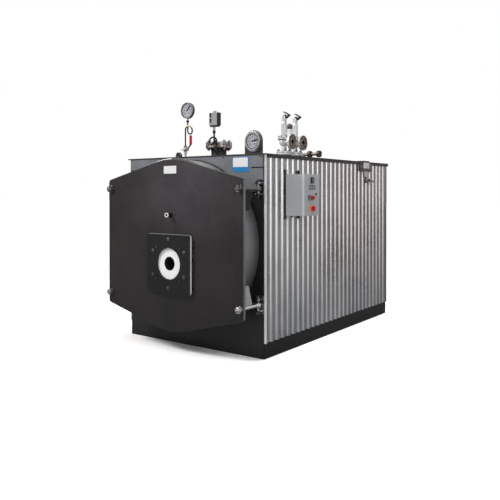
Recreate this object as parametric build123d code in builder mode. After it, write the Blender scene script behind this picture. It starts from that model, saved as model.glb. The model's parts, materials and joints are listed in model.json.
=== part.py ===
from build123d import *
from math import asin, cos, radians, sin, sqrt
import os

os.makedirs("parts", exist_ok=True)

# All sizes are in millimetres. X is to the right, Y to the rear, Z up,
# with the origin on the floor under the middle of the casing.

# Casing
case_length = 2133.6
panel_margin = 41.0
panel_gauge = 3.0
wave_pitch = 76.2
wave_depth = 18.0
sheet_gauge = 1.5
sheet_flange = 20.0
front_flat = 20.0
rear_flat = 20.0

# Base frame
base_height = 116.0
base_step = 7.0
rail_flange = 55.0
rail_web = 8.0
saddle_spacing = 1100.0
saddle_gauge = 12.0
saddle_half_width = 400.0

# Top cover
cover_gauge = 4.0
cover_lip = 28.0
cover_front_rim = 10.0
cover_side_gap = 5.0
cover_overhang = 15.0
cover_lip_setback = 25.0

# Raised upper front panel
upper_panel_height = 272.0
upper_panel_depth = 18.0
slit_length = 73.0
slit_width = 6.0
slit_inset = 27.0
slit_drop = 98.0

# Pressure vessel
drum_radius = 647.0
drum_wall = 12.0
drum_ground_gap = 57.0
drum_cover_gap = 29.0
drum_reach = 231.0
drum_gap = 5.0
tube_plate_setback = 60.0
tube_plate_gauge = 18.0
vessel_rear_inset = 203.6
furnace_side_gap = 387.0
furnace_wall = 12.0
furnace_drop = 145.0
furnace_rear_gap = 228.0
tube_radius = 32.0
tube_wall = 4.0
tube_proud = 8.0
tube_fit = 0.2
inner_ring_gap = 53.0
inner_ring_count = 12
outer_ring_gap = 31.0
outer_ring_count = 14
tube_arc = 236.0

# Rear smoke box and flue
smoke_box_inset = 57.0
smoke_box_wall = 6.0
smoke_box_reach = 90.0
smoke_cover_rim = 10.0
smoke_cover_gauge = 12.0
flue_radius = 125.0
flue_wall = 5.0
flue_reach = 150.0
flue_rise = 180.0
flue_flange_rim = 45.0
flue_flange_gauge = 10.0
flue_bolt_edge = 20.0
flue_bolt_count = 8
flue_bolt_hole = 6.0

# Front door
door_gauge = 20.0
door_edge = 31.0
door_rim = 7.0
door_drop = 6.0
door_slope = 0.25
door_corner = 28.0
door_bevel = 3.0
lining_gap = 75.0
lining_taper = 80.0
lining_depth = 80.0

# Burner mounting
burner_plate_size = 450.0
burner_plate_gauge = 25.0
burner_plate_corner = 26.0
throat_radius = 120.0
throat_bore = 50.0
throat_recess = 15.0
burner_bolt_circle = 340.0
burner_bolt_hole = 6.5
sight_rise = 224.0
sight_radius = 17.5
sight_bore = 11.0
sight_reach = 45.0
sight_recess = 4.0

# Door rods and hinges
rod_radius = 15.0
rod_drum_gap = 3.0
rod_inset = 225.0
rod_end = 285.0
rod_clearance = 4.0
rod_tip_setback = 2.0
pin_reach = 38.0
pin_radius = 10.0
pin_fit = 0.3
pin_length = 135.0
pin_head_radius = 16.0
pin_head_height = 14.0
eye_radius = 24.0
eye_height = 34.0
collar_radius = 13.0
lug_spacing = 81.0
lug_gauge = 12.0
lug_width = 44.0
lug_reach = 62.0
lug_plate_gauge = 8.0
lug_plate_width = 50.0
lug_plate_height = 130.0
notch_clearance = 2.0
gusset_gauge = 8.0
gusset_length = 156.0
gusset_root = 124.0
gusset_tip = 74.0
nut_across_flats = 46.0
nut_height = 24.0
washer_radius = 29.0
washer_gauge = 4.0

# Lifting eye on the front of the drum
lift_reach = 156.0
lift_radius = 26.0
lift_bore = 11.0
lift_gauge = 24.0
lift_height = 58.0
lift_edge = 5.0

# Steam outlet
steam_back = 333.0
steam_bore = 54.0
steam_neck_wall = 10.0
steam_hub_flare = 4.0
steam_hub_height = 40.0
steam_flange_rise = 84.0
steam_flange_gauge = 23.0
steam_flange_radius = 110.0
steam_bolt_circle = 180.0
steam_bolt_count = 8
steam_bolt_hole = 9.0
neck_clearance = 3.0

# Pressure switch on its siphon
switch_x = 70.0
switch_back = 214.0
switch_pipe_radius = 7.0
switch_loop_radius = 30.0
switch_loop_rise = 135.0
switch_lean = -28.0
switch_stem_length = 29.0
switch_nut_height = 22.0
switch_nut_radius = 13.0
switch_neck_radius = 10.5
switch_neck_length = 30.0
switch_foot_height = 11.0
switch_foot_inset = 5.0
switch_height = 102.0
switch_width = 92.0
switch_depth = 46.0
switch_shift = 8.0
switch_corner = 5.0
switch_knob_radius = 14.0
switch_knob_height = 14.0

# Pressure gauge with siphon and cock
gauge_x = -228.0
gauge_back = 170.0
gauge_pipe_radius = 6.0
gauge_loop_radius = 31.0
gauge_loop_rise = 132.0
gauge_lean = 28.0
gauge_stem_length = 36.0
gauge_radius = 68.0
gauge_bezel = 7.0
gauge_depth = 25.0
gauge_recess = 5.0
gauge_stem_radius = 7.5
gauge_stem_rise = 14.0
gauge_nut_height = 18.0
gauge_nut_radius = 12.0
cock_rise = 70.0
cock_riser_radius = 9.0
cock_body_radius = 17.0
cock_length = 66.0
cock_nut_radius = 15.0
cock_port_radius = 8.5
cock_port_reach = 48.0
cock_port_tilt = 12.0
spindle_radius = 6.0
spindle_reach = 24.5
spindle_fit = 0.3
lever_width = 18.0
lever_gauge = 5.0
lever_crank_start = 12.0
lever_crank_end = 43.0
lever_crank_reach = 31.0
lever_grip_length = 76.0
lever_grip_gauge = 11.0
lever_grip_margin = 1.5

# Loops of the siphons, as shares of the loop radius
loop_corner = 0.95

# Dial gauge on its bracket
dial_inset = 122.0
dial_back = 46.0
dial_flange_radius = 77.0
dial_flange_gauge = 6.0
dial_radius = 69.0
dial_bezel = 12.0
dial_depth = 20.0
dial_recess = 4.0
dial_lift = 20.0
bracket_gauge = 4.0
bracket_edge = 5.0
bracket_foot = 50.0

# Safety valves
valve_backs = (1334.0, 1534.0)
valve_foot_rise = 76.0
valve_foot_gauge = 36.0
valve_outlet_rise = 88.0
valve_reach = 98.0
valve_flange_radius = 75.0
valve_flange_gauge = 22.0
valve_bolt_circle = 110.0
valve_bolt_hole = 9.0
valve_bore = 20.0
valve_neck_radius = 32.0
valve_waist_radius = 24.0
valve_waist_length = 48.0
valve_body_radius = 47.0
valve_body_length = 65.0
valve_shoulder_radius = 40.0
valve_bonnet_flange_radius = 62.0
valve_bonnet_flange_gauge = 24.0
valve_bonnet_foot_radius = 22.0
valve_bonnet_foot_length = 26.0
valve_bonnet_radius = 28.0
valve_bonnet_length = 100.0
valve_bonnet_neck_length = 30.0
valve_bonnet_top_radius = 22.0
valve_cap_radius = 24.0
valve_cap_height = 60.0
valve_lever_foot = 12.0
valve_lever_knee_reach = 60.0
valve_lever_knee_rise = 53.0
valve_lever_end_rise = 87.0
valve_lever_width = 8.0
valve_lever_half_gauge = 20.0
valve_fork_half_gap = 12.0

# Level probe between the safety valves
probe_back = 1434.0
probe_neck_radius = 17.0
probe_neck_rise = 190.0
probe_radius = 26.0
probe_body_length = 159.0
probe_groove_depth = 2.0
probe_groove_length = 6.0
probe_dome_base = 10.0
probe_dome_height = 23.0

# Feed inlet near the right edge of the cover
feed_back = 824.0
feed_rise = 36.0
feed_inset = 27.0
feed_length = 155.0
feed_pipe_radius = 13.0
feed_bore = 8.5
feed_flange_radius = 28.0
feed_flange_gauge = 24.0
feed_joint_setback = 43.0
feed_bolt_circle = 42.0
feed_bolt_hole = 3.5

# Side lifting bracket and drain cock near the rear
side_back = 1634.0
side_plate_width = 250.0
side_plate_gauge = 4.0
side_plate_drop = 91.0
side_strap_width = 76.0
side_strap_drop = 142.0
side_bracket_width = 122.0
side_bracket_gauge = 8.0
side_bracket_drop = 63.0
side_bracket_tongue = 90.0
side_cock_shift = 33.0
side_cock_drop = 171.0
side_cock_radius = 27.0
side_cock_foot = 12.0
side_cock_body_radius = 18.0
side_cock_depth = 52.0
side_handle_length = 78.0
side_handle_width = 13.0
side_handle_gauge = 6.0
side_handle_turn = -20.0

# Blowdown outlet, low on the rear panel
blowdown_turn = 20.0
blowdown_gap = 32.0
blowdown_pipe_radius = 16.0
blowdown_bore = 12.5
blowdown_reach = 150.0
blowdown_flange_radius = 57.5
blowdown_flange_gauge = 16.0
blowdown_bolt_circle = 85.0
blowdown_bolt_hole = 7.0

# Control box
box_back = 244.0
box_drop = 148.0
box_width = 222.0
box_height = 313.0
box_depth = 141.0
box_wall = 2.0
box_standoff = 16.0
box_door_depth = 20.0
box_door_gap = 0.5
box_plate_gauge = 2.0
box_rail_width = 20.0
box_rail_top = 36.0
box_rail_bottom = 29.0
box_rail_inset = 2.0
rail_knob_radius = 7.5
rail_knob_reach = 7.0
rail_knob_inset = 8.0
gland_radius = 7.0
gland_reach = 14.0
gland_side_inset = 26.0
gland_front_inset = 44.0
meter_width = 40.0
meter_height = 44.0
meter_gauge = 10.0
meter_rise = 268.0
key_radius = 6.5
key_reach = 6.0
key_rise = 214.0
key_spacing = 34.0
key_row_spacing = 20.0
selector_width = 16.0
selector_height = 40.0
selector_reach = 14.0
selector_offset = -44.0
selector_rise = 138.0
button_radius = 15.0
button_reach = 20.0
button_rise = 136.0
lock_radius = 8.0
lock_reach = 10.0
lock_offset = 56.0
lock_rise = 163.0
switch_plate_width = 48.0
switch_plate_height = 50.0
switch_plate_gauge = 4.0
knob_rise = 55.0
knob_radius = 18.0
knob_base = 4.0
knob_height = 24.0
knob_grip_width = 11.0
knob_fit = 0.3

# Derived places
front = -case_length / 2
rear = case_length / 2
drum_height = base_height + drum_ground_gap + drum_radius
drum_top = drum_height + drum_radius
cover_underside = drum_top + drum_cover_gap
case_height = cover_underside + cover_gauge
panel_half_width = drum_radius + panel_margin
base_half_width = panel_half_width + base_step
crest_half_width = panel_half_width + sheet_flange
cover_half_width = crest_half_width + cover_side_gap + cover_gauge
wave_count = int((case_length - front_flat - rear_flat) / wave_pitch)
rod_offset = drum_radius + rod_drum_gap + rod_radius
rod_rise = drum_radius - rod_inset
door_half_width = rod_offset + door_edge
door_radius = drum_radius + door_rim
door_middle = drum_height - door_drop
door_back = front - drum_reach
door_face = door_back - door_gauge
pin_y = front - pin_reach
drum_clear_radius = drum_radius + drum_gap
tube_plate_front = front + tube_plate_setback
vessel_rear = rear - vessel_rear_inset
furnace_radius = drum_radius - furnace_side_gap
furnace_height = drum_height - furnace_drop
inner_ring_radius = furnace_radius + inner_ring_gap + tube_radius
outer_ring_radius = inner_ring_radius + outer_ring_gap + 2 * tube_radius
smoke_box_radius = drum_radius - smoke_box_inset
smoke_box_rear = rear + smoke_box_reach
flue_height = drum_height + flue_rise
lining_radius = drum_radius - drum_wall - lining_gap
sight_height = drum_height + sight_rise
front_plane = Plane.XZ.offset(-front)
box_side = crest_half_width + box_standoff
blowdown_offset = smoke_box_radius + blowdown_gap
blowdown_x = blowdown_offset * sin(radians(blowdown_turn))
blowdown_height = drum_height - blowdown_offset * cos(radians(blowdown_turn))


def level(height):
    """Horizontal plane at a height above the floor."""
    return Plane.XY.offset(height)


def upright(y):
    """Vertical plane facing the front, at a distance along Y."""
    return Plane.XZ.offset(-y)


def facing_right(x):
    """Vertical plane facing the right-hand side."""
    return Plane.YZ.offset(x)


# Base frame: two long channels with their webs outside
with BuildPart() as base_rails:
    with BuildSketch(upright(front + panel_gauge)) as rail_section:
        with Locations((base_half_width, 0)):
            Rectangle(rail_flange, base_height, align=(Align.MAX, Align.MIN))
        with Locations((base_half_width - rail_web, rail_web)):
            Rectangle(
                rail_flange,
                base_height - 2 * rail_web,
                align=(Align.MAX, Align.MIN),
                mode=Mode.SUBTRACT,
            )
        mirror(about=Plane.YZ)
    extrude(amount=-(case_length - 2 * panel_gauge))
base_rails.part.label = "base_rails"
export_step(base_rails.part, "parts/base_rails.step")


# Cross channels between the rails, two of them with saddle plates for the drum
cross_half_length = base_half_width - rail_flange
cross_places = (
    front + panel_gauge + rail_flange / 2,
    -saddle_spacing / 2,
    0,
    saddle_spacing / 2,
    rear - panel_gauge - rail_flange / 2,
)
with BuildPart() as base_cross_members:
    for place in cross_places:
        with BuildSketch(facing_right(-cross_half_length)) as cross_section:
            with Locations((place, 0)):
                Rectangle(rail_flange, base_height, align=(Align.CENTER, Align.MIN))
            with Locations((place + rail_web, rail_web)):
                Rectangle(
                    rail_flange,
                    base_height - 2 * rail_web,
                    align=(Align.CENTER, Align.MIN),
                    mode=Mode.SUBTRACT,
                )
        extrude(amount=2 * cross_half_length)
    for place in (-saddle_spacing / 2, saddle_spacing / 2):
        with BuildSketch(upright(place - saddle_gauge / 2)) as saddle_outline:
            with Locations((0, base_height)):
                Rectangle(
                    2 * saddle_half_width,
                    drum_height - base_height,
                    align=(Align.CENTER, Align.MIN),
                )
            with Locations((0, drum_height)):
                Circle(drum_radius, mode=Mode.SUBTRACT)
                Rectangle(
                    2 * saddle_half_width,
                    2 * sqrt(drum_radius**2 - saddle_half_width**2),
                    mode=Mode.SUBTRACT,
                )
        extrude(amount=-saddle_gauge)
base_cross_members.part.label = "base_cross_members"
export_step(base_cross_members.part, "parts/base_cross_members.step")


# Flat front panel from the floor to the cover, cut out round the drum
with BuildPart() as front_panel_lower:
    with BuildSketch(front_plane) as lower_outline:
        Rectangle(2 * panel_half_width, cover_underside, align=(Align.CENTER, Align.MIN))
        with Locations((0, drum_height)):
            Circle(drum_clear_radius, mode=Mode.SUBTRACT)
    extrude(amount=-panel_gauge)
front_panel_lower.part.label = "front_panel_lower"
export_step(front_panel_lower.part, "parts/front_panel_lower.step")


# Raised upper panel, a folded tray with two slits and a notch over each upper hinge
upper_panel_bottom = cover_underside - upper_panel_height
slit_x = panel_half_width - slit_inset - slit_length / 2
with BuildPart() as front_panel_upper:
    with BuildSketch(front_plane) as upper_outline:
        with Locations((0, upper_panel_bottom)):
            Rectangle(
                2 * panel_half_width, upper_panel_height, align=(Align.CENTER, Align.MIN)
            )
        with Locations((0, drum_height)):
            Circle(drum_clear_radius, mode=Mode.SUBTRACT)
    extrude(amount=upper_panel_depth)
    with BuildSketch(front_plane) as upper_pocket:
        with Locations((0, upper_panel_bottom + panel_gauge)):
            Rectangle(
                2 * (panel_half_width - panel_gauge),
                upper_panel_height - 2 * panel_gauge,
                align=(Align.CENTER, Align.MIN),
            )
        with Locations((0, drum_height)):
            Circle(drum_clear_radius + panel_gauge, mode=Mode.SUBTRACT)
    extrude(amount=upper_panel_depth - panel_gauge, mode=Mode.SUBTRACT)
    with BuildSketch(front_plane) as upper_cuts:
        for side in (-1, 1):
            with Locations((side * slit_x, cover_underside - slit_drop)):
                Rectangle(slit_length, slit_width)
            with Locations((side * rod_offset, drum_height + rod_rise)):
                Rectangle(
                    lug_plate_width + 2 * notch_clearance,
                    lug_plate_height + 2 * notch_clearance,
                )
    extrude(amount=upper_panel_depth, mode=Mode.SUBTRACT)
front_panel_upper.part.label = "front_panel_upper"
export_step(front_panel_upper.part, "parts/front_panel_upper.step")


# Corrugated side sheets with a flat flange folded round each end
wave_radius = ((wave_pitch / 4) ** 2 + (wave_depth / 2) ** 2) / wave_depth
wave_turn = asin(wave_pitch / 4 / wave_radius)
crest_centre = crest_half_width - sheet_gauge / 2 - wave_radius
valley_centre = crest_centre + 2 * wave_radius - wave_depth
first_crest = front + front_flat
last_crest = first_crest + wave_count * wave_pitch


def wave_skin(shift):
    """Arcs of one skin of the corrugation, from the first crest to the last."""
    crest = wave_radius + shift
    valley = wave_radius - shift
    side_x = crest * cos(wave_turn)
    side_y = crest * sin(wave_turn)
    for index in range(wave_count):
        y = first_crest + index * wave_pitch
        rise = crest * cos(wave_turn / 2), crest * sin(wave_turn / 2)
        ThreePointArc(
            (crest_centre + crest, y),
            (crest_centre + rise[0], y + rise[1]),
            (crest_centre + side_x, y + side_y),
        )
        ThreePointArc(
            (crest_centre + side_x, y + side_y),
            (valley_centre - valley, y + wave_pitch / 2),
            (crest_centre + side_x, y + wave_pitch - side_y),
        )
        ThreePointArc(
            (crest_centre + side_x, y + wave_pitch - side_y),
            (crest_centre + rise[0], y + wave_pitch - rise[1]),
            (crest_centre + crest, y + wave_pitch),
        )


with BuildPart() as right_side_sheet:
    with BuildSketch(level(base_height)) as wave_section:
        with BuildLine() as wave_outline:
            wave_skin(sheet_gauge / 2)
            wave_skin(-sheet_gauge / 2)
            outer_x = crest_half_width
            inner_x = crest_half_width - sheet_gauge
            Polyline(
                (outer_x, last_crest),
                (outer_x, rear),
                (panel_half_width, rear),
                (panel_half_width, rear - sheet_gauge),
                (inner_x, rear - sheet_gauge),
                (inner_x, last_crest),
            )
            Polyline(
                (outer_x, first_crest),
                (outer_x, front),
                (panel_half_width, front),
                (panel_half_width, front + sheet_gauge),
                (inner_x, front + sheet_gauge),
                (inner_x, first_crest),
            )
        make_face()
    extrude(amount=cover_underside - base_height)
right_side_sheet.part.label = "right_side_sheet"
export_step(right_side_sheet.part, "parts/right_side_sheet.step")

with BuildPart() as left_side_sheet:
    mirror(right_side_sheet.part, about=Plane.YZ)
left_side_sheet.part.label = "left_side_sheet"
export_step(left_side_sheet.part, "parts/left_side_sheet.step")


# Rear panel with the round cut for the smoke box
with BuildPart() as rear_panel:
    with BuildSketch(upright(rear - panel_gauge)) as rear_outline:
        Rectangle(2 * panel_half_width, cover_underside, align=(Align.CENTER, Align.MIN))
        with Locations((0, drum_height)):
            Circle(smoke_box_radius + drum_gap, mode=Mode.SUBTRACT)
        with Locations((blowdown_x, blowdown_height)):
            Circle(blowdown_pipe_radius + neck_clearance, mode=Mode.SUBTRACT)
    extrude(amount=-panel_gauge)
rear_panel.part.label = "rear_panel"
export_step(rear_panel.part, "parts/rear_panel.step")


# Folded top cover with holes for what stands on the drum
cover_front = front - upper_panel_depth - panel_gauge
cover_rear = rear + cover_overhang
steam_neck_radius = steam_bore + steam_neck_wall
lip_start = front + cover_lip_setback
with BuildPart() as top_cover:
    with BuildSketch(level(cover_underside)) as cover_outline:
        with Locations((0, cover_front)):
            Rectangle(
                2 * cover_half_width,
                cover_rear - cover_front,
                align=(Align.CENTER, Align.MIN),
            )
        with Locations((0, front + steam_back)):
            Circle(steam_neck_radius + neck_clearance, mode=Mode.SUBTRACT)
        with Locations([(0, front + back) for back in valve_backs]):
            Circle(valve_neck_radius + neck_clearance, mode=Mode.SUBTRACT)
        with Locations((0, front + probe_back)):
            Circle(probe_neck_radius + neck_clearance, mode=Mode.SUBTRACT)
    extrude(amount=cover_gauge)
    with BuildSketch(level(case_height)) as lip_outline:
        with Locations((0, lip_start)):
            Rectangle(
                2 * cover_half_width,
                cover_rear - lip_start,
                align=(Align.CENTER, Align.MIN),
            )
            Rectangle(
                2 * (cover_half_width - cover_gauge),
                cover_rear - lip_start - cover_gauge,
                align=(Align.CENTER, Align.MIN),
                mode=Mode.SUBTRACT,
            )
    extrude(amount=-cover_lip)
    with BuildSketch(level(case_height)) as rim_outline:
        with Locations((0, cover_front)):
            Rectangle(
                2 * cover_half_width, panel_gauge, align=(Align.CENTER, Align.MIN)
            )
    extrude(amount=-cover_front_rim)
top_cover.part.label = "top_cover"
export_step(top_cover.part, "parts/top_cover.step")


# Drum: one rolled cylinder from the door to the rear tube plate
with BuildPart() as boiler_shell:
    with BuildSketch(upright(door_back)) as shell_section:
        with Locations((0, drum_height)):
            Circle(drum_radius)
            Circle(drum_radius - drum_wall, mode=Mode.SUBTRACT)
    extrude(amount=-(vessel_rear - door_back))
boiler_shell.part.label = "boiler_shell"
export_step(boiler_shell.part, "parts/boiler_shell.step")


# Smoke tubes in two arcs round the furnace, carried by the tube plates
def tube_places():
    """Centres of the smoke tubes, as X and height."""
    places = []
    rings = ((inner_ring_radius, inner_ring_count), (outer_ring_radius, outer_ring_count))
    for radius, count in rings:
        for index in range(count):
            angle = radians(90 - tube_arc / 2 + tube_arc * index / (count - 1))
            places.append((radius * cos(angle), furnace_height + radius * sin(angle)))
    return places


def tube_plate_disc(start, furnace_hole):
    """Flat plate bored for the smoke tubes, with its front face at start."""
    with BuildPart() as plate:
        with BuildSketch(upright(start)) as plate_outline:
            with Locations((0, drum_height)):
                Circle(drum_radius - drum_wall)
            with Locations(tube_places()):
                Circle(tube_radius + tube_fit, mode=Mode.SUBTRACT)
            if furnace_hole:
                with Locations((0, furnace_height)):
                    Circle(furnace_radius + tube_fit, mode=Mode.SUBTRACT)
        extrude(amount=-tube_plate_gauge)
    return plate


front_tube_plate = tube_plate_disc(tube_plate_front, True)
front_tube_plate.part.label = "front_tube_plate"
export_step(front_tube_plate.part, "parts/front_tube_plate.step")

rear_tube_plate = tube_plate_disc(vessel_rear - tube_plate_gauge, False)
rear_tube_plate.part.label = "rear_tube_plate"
export_step(rear_tube_plate.part, "parts/rear_tube_plate.step")

with BuildPart() as smoke_tubes:
    with BuildSketch(upright(tube_plate_front - tube_proud)) as tube_sections:
        with Locations(tube_places()):
            Circle(tube_radius)
            Circle(tube_radius - tube_wall, mode=Mode.SUBTRACT)
    extrude(amount=-(vessel_rear - tube_plate_front + 2 * tube_proud))
smoke_tubes.part.label = "smoke_tubes"
export_step(smoke_tubes.part, "parts/smoke_tubes.step")


# Furnace tube, closed at its rear end
furnace_start = tube_plate_front - tube_proud
furnace_length = vessel_rear - furnace_rear_gap - furnace_start
with BuildPart() as furnace_tube:
    with BuildSketch(upright(furnace_start)) as furnace_section:
        with Locations((0, furnace_height)):
            Circle(furnace_radius)
    extrude(amount=-furnace_length)
    with BuildSketch(upright(furnace_start)) as furnace_inside:
        with Locations((0, furnace_height)):
            Circle(furnace_radius - furnace_wall)
    extrude(amount=-(furnace_length - furnace_wall), mode=Mode.SUBTRACT)
furnace_tube.part.label = "furnace_tube"
export_step(furnace_tube.part, "parts/furnace_tube.step")


# Smoke box behind the drum, with its bolted cover
with BuildPart() as smoke_box:
    with BuildSketch(upright(vessel_rear)) as smoke_box_section:
        with Locations((0, drum_height)):
            Circle(smoke_box_radius)
            Circle(smoke_box_radius - smoke_box_wall, mode=Mode.SUBTRACT)
    extrude(amount=-(smoke_box_rear - vessel_rear))
    with BuildSketch(upright(smoke_box_rear)) as smoke_cover_outline:
        with Locations((0, drum_height)):
            Circle(smoke_box_radius + smoke_cover_rim)
        with Locations((0, flue_height)):
            Circle(flue_radius - flue_wall, mode=Mode.SUBTRACT)
    extrude(amount=-smoke_cover_gauge)
smoke_box.part.label = "smoke_box"
export_step(smoke_box.part, "parts/smoke_box.step")


# Flue outlet with its drilled flange
flue_start = smoke_box_rear + smoke_cover_gauge
flue_end = flue_start + flue_reach
flue_flange_radius = flue_radius + flue_flange_rim
with BuildPart() as flue_outlet:
    with BuildSketch(upright(flue_start)) as flue_section:
        with Locations((0, flue_height)):
            Circle(flue_radius)
    extrude(amount=-flue_reach)
    with BuildSketch(upright(flue_end)) as flue_flange:
        with Locations((0, flue_height)):
            Circle(flue_flange_radius)
            with PolarLocations(flue_flange_radius - flue_bolt_edge, flue_bolt_count):
                Circle(flue_bolt_hole, mode=Mode.SUBTRACT)
    extrude(amount=flue_flange_gauge)
    with BuildSketch(upright(flue_start)) as flue_bore:
        with Locations((0, flue_height)):
            Circle(flue_radius - flue_wall)
    extrude(amount=-flue_reach, mode=Mode.SUBTRACT)
flue_outlet.part.label = "flue_outlet"
export_step(flue_outlet.part, "parts/flue_outlet.step")


# Hinge brackets: a back plate and two lugs for each of the four rods
hinge_places = [
    (side * rod_offset, drum_height + rise) for side in (-1, 1) for rise in (-rod_rise, rod_rise)
]
with BuildPart() as hinge_lugs:
    with BuildSketch(front_plane) as lug_plates:
        with Locations(hinge_places):
            Rectangle(lug_plate_width, lug_plate_height)
    extrude(amount=lug_plate_gauge)
    for x, z in hinge_places:
        for rise in (-lug_spacing / 2, lug_spacing / 2):
            with BuildSketch(level(z + rise - lug_gauge / 2)) as lug_outline:
                with Locations((x, front - lug_plate_gauge)):
                    Rectangle(
                        lug_width,
                        lug_reach - lug_plate_gauge - lug_width / 2,
                        align=(Align.CENTER, Align.MAX),
                    )
                with Locations((x, front - lug_reach + lug_width / 2)):
                    Circle(lug_width / 2)
                with Locations((x, pin_y)):
                    Circle(pin_radius, mode=Mode.SUBTRACT)
            extrude(amount=lug_gauge)
hinge_lugs.part.label = "hinge_lugs"
export_step(hinge_lugs.part, "parts/hinge_lugs.step")


# Hinge pins with a head at each end and a collar under the rod eye
collar_bottom = -lug_spacing / 2 + lug_gauge / 2
with BuildPart() as hinge_pins:
    for x, z in hinge_places:
        with BuildSketch(level(z - pin_length / 2)) as pin_section:
            with Locations((x, pin_y)):
                Circle(pin_radius)
        extrude(amount=pin_length)
        with BuildSketch(level(z + collar_bottom)) as collar_section:
            with Locations((x, pin_y)):
                Circle(collar_radius)
        extrude(amount=-eye_height / 2 - pin_fit - collar_bottom)
        for side in (-1, 1):
            head_start = side * (lug_spacing + lug_gauge) / 2
            with BuildSketch(level(z + head_start)) as head_section:
                with Locations((x, pin_y)):
                    RegularPolygon(pin_head_radius, 6)
            extrude(amount=side * pin_head_height)
hinge_pins.part.label = "hinge_pins"
export_step(hinge_pins.part, "parts/hinge_pins.step")


# Door rods: an eye on the hinge pin and a plain rod through the door
def door_rods(side, end):
    """Upper and lower rod of one side, ending at a distance along Y."""
    with BuildPart() as rods:
        for rise in (-rod_rise, rod_rise):
            z = drum_height + rise
            x = side * rod_offset
            with BuildSketch(level(z - eye_height / 2)) as eye_section:
                with Locations((x, pin_y)):
                    Circle(eye_radius)
            extrude(amount=eye_height)
            with BuildSketch(upright(pin_y)) as rod_section:
                with Locations((x, z)):
                    Circle(rod_radius)
            extrude(amount=pin_y - end)
            with BuildSketch(level(z - eye_height / 2)) as eye_bore:
                with Locations((x, pin_y)):
                    Circle(pin_radius + pin_fit)
            extrude(amount=eye_height, mode=Mode.SUBTRACT)
    return rods


left_rods = door_rods(-1, door_face + rod_tip_setback)
left_rods.part.label = "left_rods"
export_step(left_rods.part, "parts/left_rods.step")

# The right rods also carry a gusset each, which stiffens the door's back
with BuildPart() as right_rods:
    add(door_rods(1, front - rod_end))
    for flip in (-1, 1):
        rod_z = drum_height + flip * rod_rise
        tip_z = rod_z - flip * gusset_length
        with BuildSketch(facing_right(rod_offset - gusset_gauge / 2)) as gusset_outline:
            with BuildLine() as gusset_line:
                Polyline(
                    (door_back, rod_z),
                    (door_back + gusset_root, rod_z),
                    (door_back + gusset_tip, tip_z),
                    (door_back, tip_z),
                    close=True,
                )
            make_face()
        extrude(amount=gusset_gauge)
right_rods.part.label = "right_rods"
export_step(right_rods.part, "parts/right_rods.step")


# Door plate: a round head drawn out to straight sides, drilled for rods and burner
slope_turn = sqrt(1 + door_slope**2)
door_shoulder = door_radius * slope_turn - door_half_width * door_slope
touch_x = door_radius * door_slope / slope_turn
touch_rise = door_radius / slope_turn
with BuildPart() as door_plate:
    with BuildSketch(upright(door_back)) as door_face_outline:
        with BuildLine() as door_line:
            for flip in (-1, 1):
                for side in (-1, 1):
                    Line(
                        (side * touch_x, door_middle + flip * touch_rise),
                        (side * door_half_width, door_middle + flip * door_shoulder),
                    )
                ThreePointArc(
                    (-touch_x, door_middle + flip * touch_rise),
                    (0, door_middle + flip * door_radius),
                    (touch_x, door_middle + flip * touch_rise),
                )
            for side in (-1, 1):
                Line(
                    (side * door_half_width, door_middle - door_shoulder),
                    (side * door_half_width, door_middle + door_shoulder),
                )
        make_face()
        corners = door_face_outline.vertices().filter_by(
            lambda corner: abs(corner.X) > door_half_width - door_corner
        )
        fillet(corners, door_corner)
    extrude(amount=door_gauge)
    front_edges = door_plate.faces().sort_by(Axis.Y)[0].edges()
    chamfer(front_edges, door_bevel)
    with BuildSketch(upright(door_back)) as door_holes:
        with Locations([(rod_offset, drum_height + rise) for rise in (-rod_rise, rod_rise)]):
            Circle(rod_radius)
        with Locations([(-rod_offset, drum_height + rise) for rise in (-rod_rise, rod_rise)]):
            Circle(rod_radius + rod_clearance)
        with Locations((0, furnace_height)):
            Circle(throat_radius)
        with Locations((0, sight_height)):
            Circle(sight_bore)
    extrude(amount=door_gauge, mode=Mode.SUBTRACT)
door_plate.part.label = "door_plate"
export_step(door_plate.part, "parts/door_plate.step")


# Refractory lining behind the door, tapered to swing out of the drum
with BuildPart() as door_lining:
    with BuildSketch(upright(door_back)) as lining_foot:
        with Locations((0, drum_height)):
            Circle(lining_radius)
    with BuildSketch(upright(door_back + lining_depth)) as lining_top:
        with Locations((0, drum_height)):
            Circle(lining_radius - lining_taper)
    loft()
    with BuildSketch(upright(door_back)) as lining_holes:
        with Locations((0, furnace_height)):
            Circle(throat_radius)
        with Locations((0, sight_height)):
            Circle(sight_bore)
    extrude(amount=-lining_depth, mode=Mode.SUBTRACT)
door_lining.part.label = "door_lining"
export_step(door_lining.part, "parts/door_lining.step")


# Square burner plate with rounded corners
burner_face = door_face - burner_plate_gauge
with BuildPart() as burner_plate:
    with BuildSketch(upright(door_face)) as burner_outline:
        with Locations((0, furnace_height)):
            RectangleRounded(burner_plate_size, burner_plate_size, burner_plate_corner)
            Circle(throat_radius, mode=Mode.SUBTRACT)
            with PolarLocations(burner_bolt_circle / 2, 4, start_angle=45):
                Circle(burner_bolt_hole, mode=Mode.SUBTRACT)
    extrude(amount=burner_plate_gauge)
burner_plate.part.label = "burner_plate"
export_step(burner_plate.part, "parts/burner_plate.step")


# Refractory throat block, set back in the plate and through the door and the lining
throat_face = burner_face + throat_recess
with BuildPart() as burner_ring:
    with BuildSketch(upright(throat_face)) as ring_section:
        with Locations((0, furnace_height)):
            Circle(throat_radius)
            Circle(throat_bore, mode=Mode.SUBTRACT)
    extrude(amount=-(door_back + lining_depth - throat_face))
burner_ring.part.label = "burner_ring"
export_step(burner_ring.part, "parts/burner_ring.step")


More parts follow.
